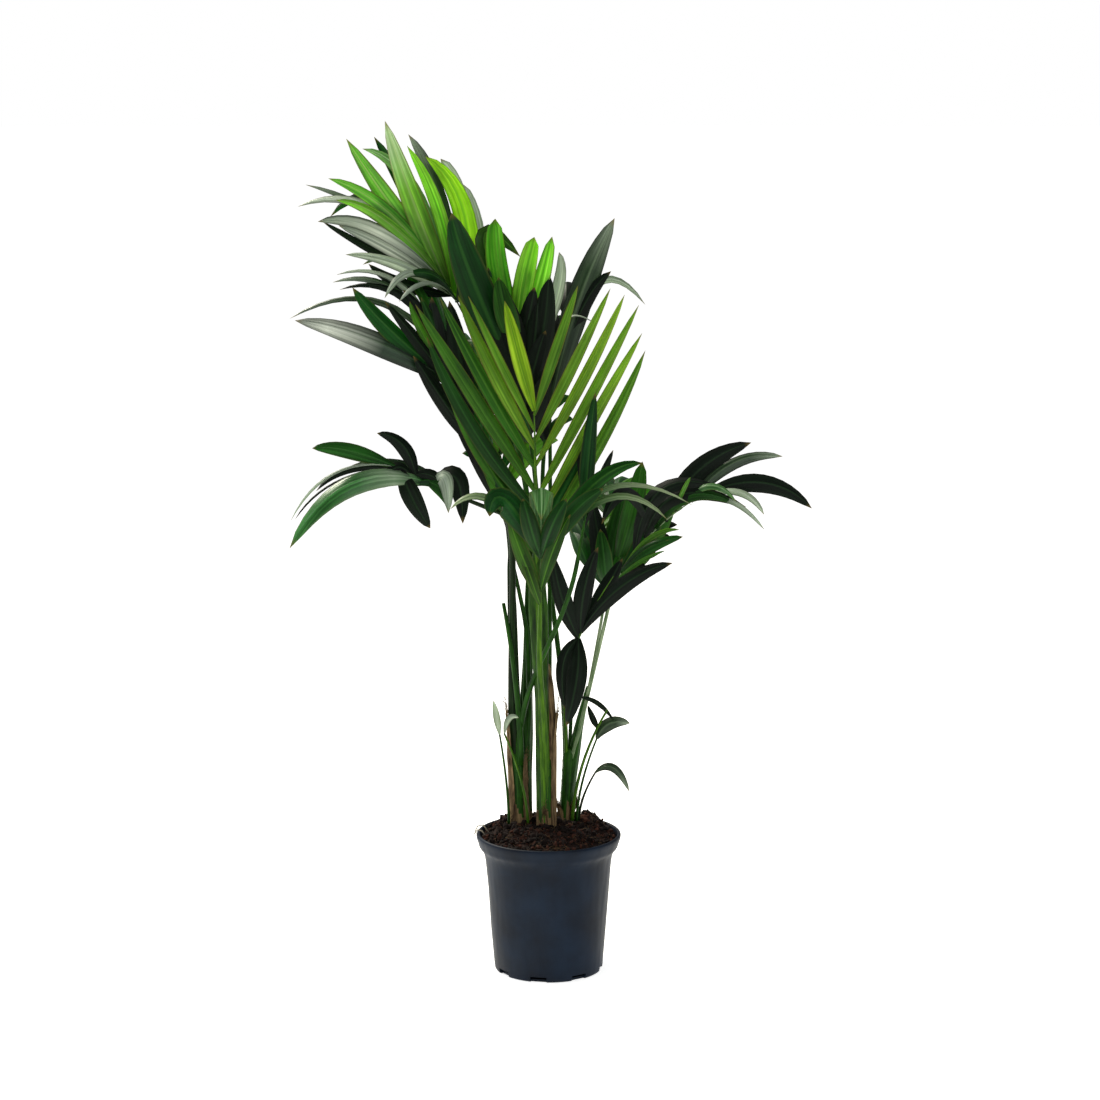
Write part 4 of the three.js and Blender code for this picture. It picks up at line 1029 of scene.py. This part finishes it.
def pot():
    """The pot: a ring drawn up through the profile, floored, then cut with the drain slots."""
    deselect()
    bpy.ops.mesh.primitive_circle_add(vertices=POT_SIDES, radius=POT_OUTSIDE[0][0] * MM, fill_type="NGON")
    piece = bpy.context.object
    piece.name = "nursery_pot"
    bpy.ops.object.mode_set(mode="EDIT")
    bpy.ops.mesh.select_mode(type="EDGE")
    bpy.ops.mesh.select_all(action="SELECT")
    bpy.ops.mesh.region_to_loop()
    profile = POT_OUTSIDE + POT_INSIDE
    for (radius, height), (wider, higher) in zip(profile, profile[1:]):
        bpy.ops.mesh.extrude_edges_move(TRANSFORM_OT_translate={"value": (0, 0, (higher - height) * MM)})
        bpy.ops.transform.resize(value=(wider / radius, wider / radius, 1), center_override=(0, 0, 0))
    bpy.ops.mesh.edge_face_add()
    bpy.ops.mesh.select_all(action="SELECT")
    bpy.ops.mesh.normals_make_consistent(inside=False)
    bpy.ops.object.mode_set(mode="OBJECT")
    for k in range(DRAIN_SLOTS):
        deselect()
        turn = math.radians(FRONT_SLOT + 360 * k / DRAIN_SLOTS)
        bpy.ops.mesh.primitive_cube_add(size=1, location=DRAIN_AT * MM * about(turn), rotation=(0, 0, turn),
                                        scale=[side * MM for side in DRAIN_SIZE])
        cutter = bpy.context.object
        deselect()
        piece.select_set(True)
        bpy.context.view_layer.objects.active = piece
        cut = piece.modifiers.new("drain slot", "BOOLEAN")
        cut.object = cutter
        cut.operation = "DIFFERENCE"
        cut.solver = "EXACT"
        bpy.ops.object.modifier_apply(modifier=cut.name)
        bpy.data.objects.remove(cutter)
    for vertex in piece.data.vertices:
        above = vertex.co.z / MM - SWELL_FROM
        if above > 0:
            swell = noise.noise(vertex.co / (70 * MM)) * SWELL * MM * min(1.0, above / 40)
            vertex.co += Vector((vertex.co.x, vertex.co.y, 0)).normalized() * swell
    bpy.ops.object.shade_smooth_by_angle(angle=SHARP)
    piece.data.materials.append(PLASTIC)
    place_piece(piece, "pot", "pot")


PEAT_EDGE = 97.6
PEAT_RINGS = 60
PEAT_SIDES = 150
PLUG_FOOT = 168  # the underside of the plug below the heap
PLUG_NARROW = 0.9  # its width there as a share of the heap's
# Where it is banked up at the back: the middle and spread of each bank across and in depth, and its height.
BANKS = ((-50, 26, 62, 22, 8), (60, 24, 58, 24, 9))
# Its fines, clods and lumps: their size, the layer of noise that each is cut from, and their height.
LUMPS = ((2.6, 9, 1.2), (6, 5, 2.6), (17, 2, 7))


def peat_height(x, y):
    """The heap's height at a place, in millimetres: a low dome with banks and lumps, calmer at its edge."""
    reach = min(math.hypot(x, y) / PEAT_EDGE, 1.0)
    dome = 196 + 15 * math.cos(math.pi / 2 * reach) ** 0.7 + 5 * max(0.0, y / PEAT_EDGE)
    banks = sum(high * math.exp(-(((x - side) / wide) ** 2) - ((y - far) / deep) ** 2)
                for side, wide, far, deep, high in BANKS)
    lumps = sum(high * noise.noise(Vector((x / size, y / size, layer))) for size, layer, high in LUMPS)
    return dome + banks + lumps * (1 - 0.5 * reach**6)


def peat_heap():
    """The peat's heap over a plug that fills the pot's neck."""
    sheaf = Sheaf()
    turns = [2 * math.pi * k / PEAT_SIDES for k in range(PEAT_SIDES)]
    rows = []
    for i in range(PEAT_RINGS, 0, -1):
        radius = PEAT_EDGE * i / PEAT_RINGS
        ring = [(radius * math.cos(a), radius * math.sin(a)) for a in turns]
        rows.append([np.array((x, y, peat_height(x, y))) for x, y in ring])
    rows.insert(0, [np.array((*(point[:2] * PLUG_NARROW), PLUG_FOOT)) for point in rows[0]])
    uv = [[np.zeros(2)] * PEAT_SIDES] * len(rows)
    ends = spots((0, 0, PLUG_FOOT), (0, 0, peat_height(0, 0)))
    sheaf.grid(rows, uv, loop=True, ends=ends)
    sheaf.finish("peat_heap", [PEAT], "soil", "soil")


def strewn(chance, edge):
    """A place that chance picks on the heap, no further out than edge."""
    reach = edge * math.sqrt(chance.uniform())
    turn = chance.uniform(0, 2 * math.pi)
    return reach * math.cos(turn), reach * math.sin(turn)


def crumb_shape():
    """One crumb's points and faces: a small faceted ball."""
    deselect()
    bpy.ops.mesh.primitive_ico_sphere_add(subdivisions=1, radius=1)
    ball = bpy.context.object
    points = np.array([vertex.co for vertex in ball.data.vertices])
    faces = np.array([tuple(face.vertices) for face in ball.data.polygons])
    bpy.data.objects.remove(ball)
    return points, faces


CRUMB_STRETCH = (0.55, 1.3)  # a crumb's thinnest and longest, as shares of its size
CRUMB_KNOBS = 0.25  # how far its corners stand in and out


def crumbs(name, count, low, high, material, seed):
    """Loose crumbs of peat and bark from low to high in size, strewn over the heap."""
    chance = np.random.default_rng(seed)
    shape, shape_faces = crumb_shape()
    vertices, faces = [], []
    for k in range(count):
        x, y = strewn(chance, PEAT_EDGE - 1)
        size = low + (high - low) * chance.uniform() ** 3
        stretch = chance.uniform(*CRUMB_STRETCH, 3) * size / 2
        knobs = 1 + CRUMB_KNOBS * chance.normal(size=(len(shape), 1))
        spin = Matrix.Rotation(chance.uniform(0, 6.28), 3, Vector(chance.normal(size=3)).normalized())
        lump = (shape * knobs * stretch) @ np.array(spin).T
        centre = np.array((x, y, peat_height(x, y) + 0.25 * size))
        vertices.extend((lump + centre) * MM)
        faces.extend(map(tuple, shape_faces + k * len(shape)))
    place_piece(cast(name, vertices, faces, [material], smooth=False), "soil")


FIBRES = 170
ROOT_LOOPS = [
    [(-92, -8, 200), (-97, -10, 208), (-103, -12, 210), (-108, -12, 204), (-109, -12, 197)],
    [(-88, 2, 203), (-95, 0, 214), (-103, -3, 213), (-107, -6, 206), (-104, -9, 203)],
]


def peat_fibres():
    """Rootlets and bark threads that lie in the peat, and two pale roots that loop over the lip."""
    chance = np.random.default_rng(47)
    threads = Sheaf()
    for _ in range(FIBRES):
        x, y = strewn(chance, PEAT_EDGE * 0.95)
        heading = chance.uniform(0, 2 * math.pi)
        length = chance.uniform(6, 20)
        curl = chance.normal() * 0.8
        points = []
        for s in np.linspace(0, 1, 7):
            x += length / 6 * math.cos(heading + curl * s)
            y += length / 6 * math.sin(heading + curl * s)
            if math.hypot(x, y) > PEAT_EDGE:
                x, y = (q * PEAT_EDGE / math.hypot(x, y) for q in (x, y))
            points.append(np.array((x, y, peat_height(x, y) + 0.6 + 2.2 * math.sin(math.pi * s))))
        add_tube(threads, points, [0.45, 0.42, 0.4, 0.36, 0.3, 0.24, 0.15], 4)
    threads.finish("peat_fibres", [HUSK], "soil")
    roots = Sheaf()
    for loop in ROOT_LOOPS:
        add_tube(roots, spots(*loop), [1.1, 1.0, 0.9, 0.8, 0.4], 6)
    roots.finish("looped_roots", [ROOT], "soil")


def cut_stub():
    """What is left of a frond that was cut off: a dark stalk's stump between the left stalks."""
    sheaf = Sheaf()
    line = spots((-40, 16, 300), (-41, 5, 391), (-52, 7, 470), (-65, 10, 540))
    curve = [swing(*line, s) for s in np.linspace(0, 1, 14)]
    add_tube(sheaf, curve, np.linspace(5.0, 2.6, 14), STALK_SIDES, STALK_DEPTH)
    sheaf.finish("cut_stub", [GREEN_RIND], "stalk")


# ---------------------------------------------------------------- the studio

LIT = Vector((0, 0, 0.75))  # where the lamps point


def studio():
    """A pale floor and room, with a soft high light from behind on the left, a front fill and a faint
    light from the left."""
    deselect()
    bpy.ops.mesh.primitive_circle_add(vertices=96, radius=60, fill_type="NGON", location=(0, 0, 0))
    floor = bpy.context.object
    floor.name = "floor"
    material, put = blank_finish("pale_floor")
    paint = put("BsdfPrincipled", {"Base Color": "#f7f7f5", "Roughness": 0.9, "Emission Strength": 0.68,
                                   "Emission Color": "#ffffff", "Specular IOR Level": 0.0})
    put("OutputMaterial", {0: paint})
    floor.data.materials.append(material)
    lamps = {
        "back_left": ((-1.5, 1.7, 2.6), 1.0, 120, "#fff8e8"),
        "front_fill": ((1.0, -3.2, 2.4), 1.6, 34, "#ffffff"),
        "left_rim": ((-2.4, -0.4, 1.9), 0.9, 12, "#f4f8ff"),
    }
    for name, (place, size, power, tone) in lamps.items():
        lamp = bpy.data.lights.new(name, "AREA")
        lamp.size = size
        lamp.energy = power
        lamp.color = linear(tone)[:3]
        holder = bpy.data.objects.new(name, lamp)
        holder.location = place
        aim = LIT - holder.location
        holder.rotation_euler = aim.to_track_quat("-Z", "Y").to_euler()
        bpy.context.scene.collection.objects.link(holder)
    world = bpy.data.worlds.new("pale_room")
    world.use_nodes = True
    air = world.node_tree
    seen = add(air, "LightPath").outputs["Is Camera Ray"]
    strength = add(air, "MapRange", {0: seen, 3: 0.38, 4: 1.0})
    air.links.new(strength.outputs[0], air.nodes["Background"].inputs["Strength"])
    air.nodes["Background"].inputs["Color"].default_value = (1, 1, 1, 1)
    bpy.context.scene.world = world
    bpy.context.scene.view_settings.view_transform = "Standard"


def camera():
    """Eye level of a standing viewer 4 m away, looking a little down, through a long lens."""
    eye = bpy.data.cameras.new("camera")
    eye.lens = 92.9
    eye.sensor_width = 36
    holder = bpy.data.objects.new("camera", eye)
    holder.location = (0.002, -4.0, 1.3)
    holder.rotation_euler = (math.radians(90 - 9.66), 0, 0)
    bpy.context.scene.collection.objects.link(holder)
    bpy.context.scene.camera = holder


camera()
studio()
pot()
peat_heap()
crumbs("peat_crumbs_damp", 1500, 1.6, 10.0, DAMP_CRUMB, 41)
crumbs("peat_crumbs_dry", 1100, 1.4, 7.5, DRY_CRUMB, 43)
peat_fibres()
for name, palm in PALMS.items():
    stem(name, palm)
husks()
cut_stub()
limp_leaves()
for name, (line, radius, skin) in FRONDS.items():
    frond = Frond(*line)
    stalk(name, PALMS[line[0]], frond, radius, skin)
    leaflets(name, frond)
for name, (skin, depth, path) in SHEATHS.items():
    sheath(name, skin, depth, path)
for name, seedling in SPROUTS.items():
    sprout(name, *seedling)
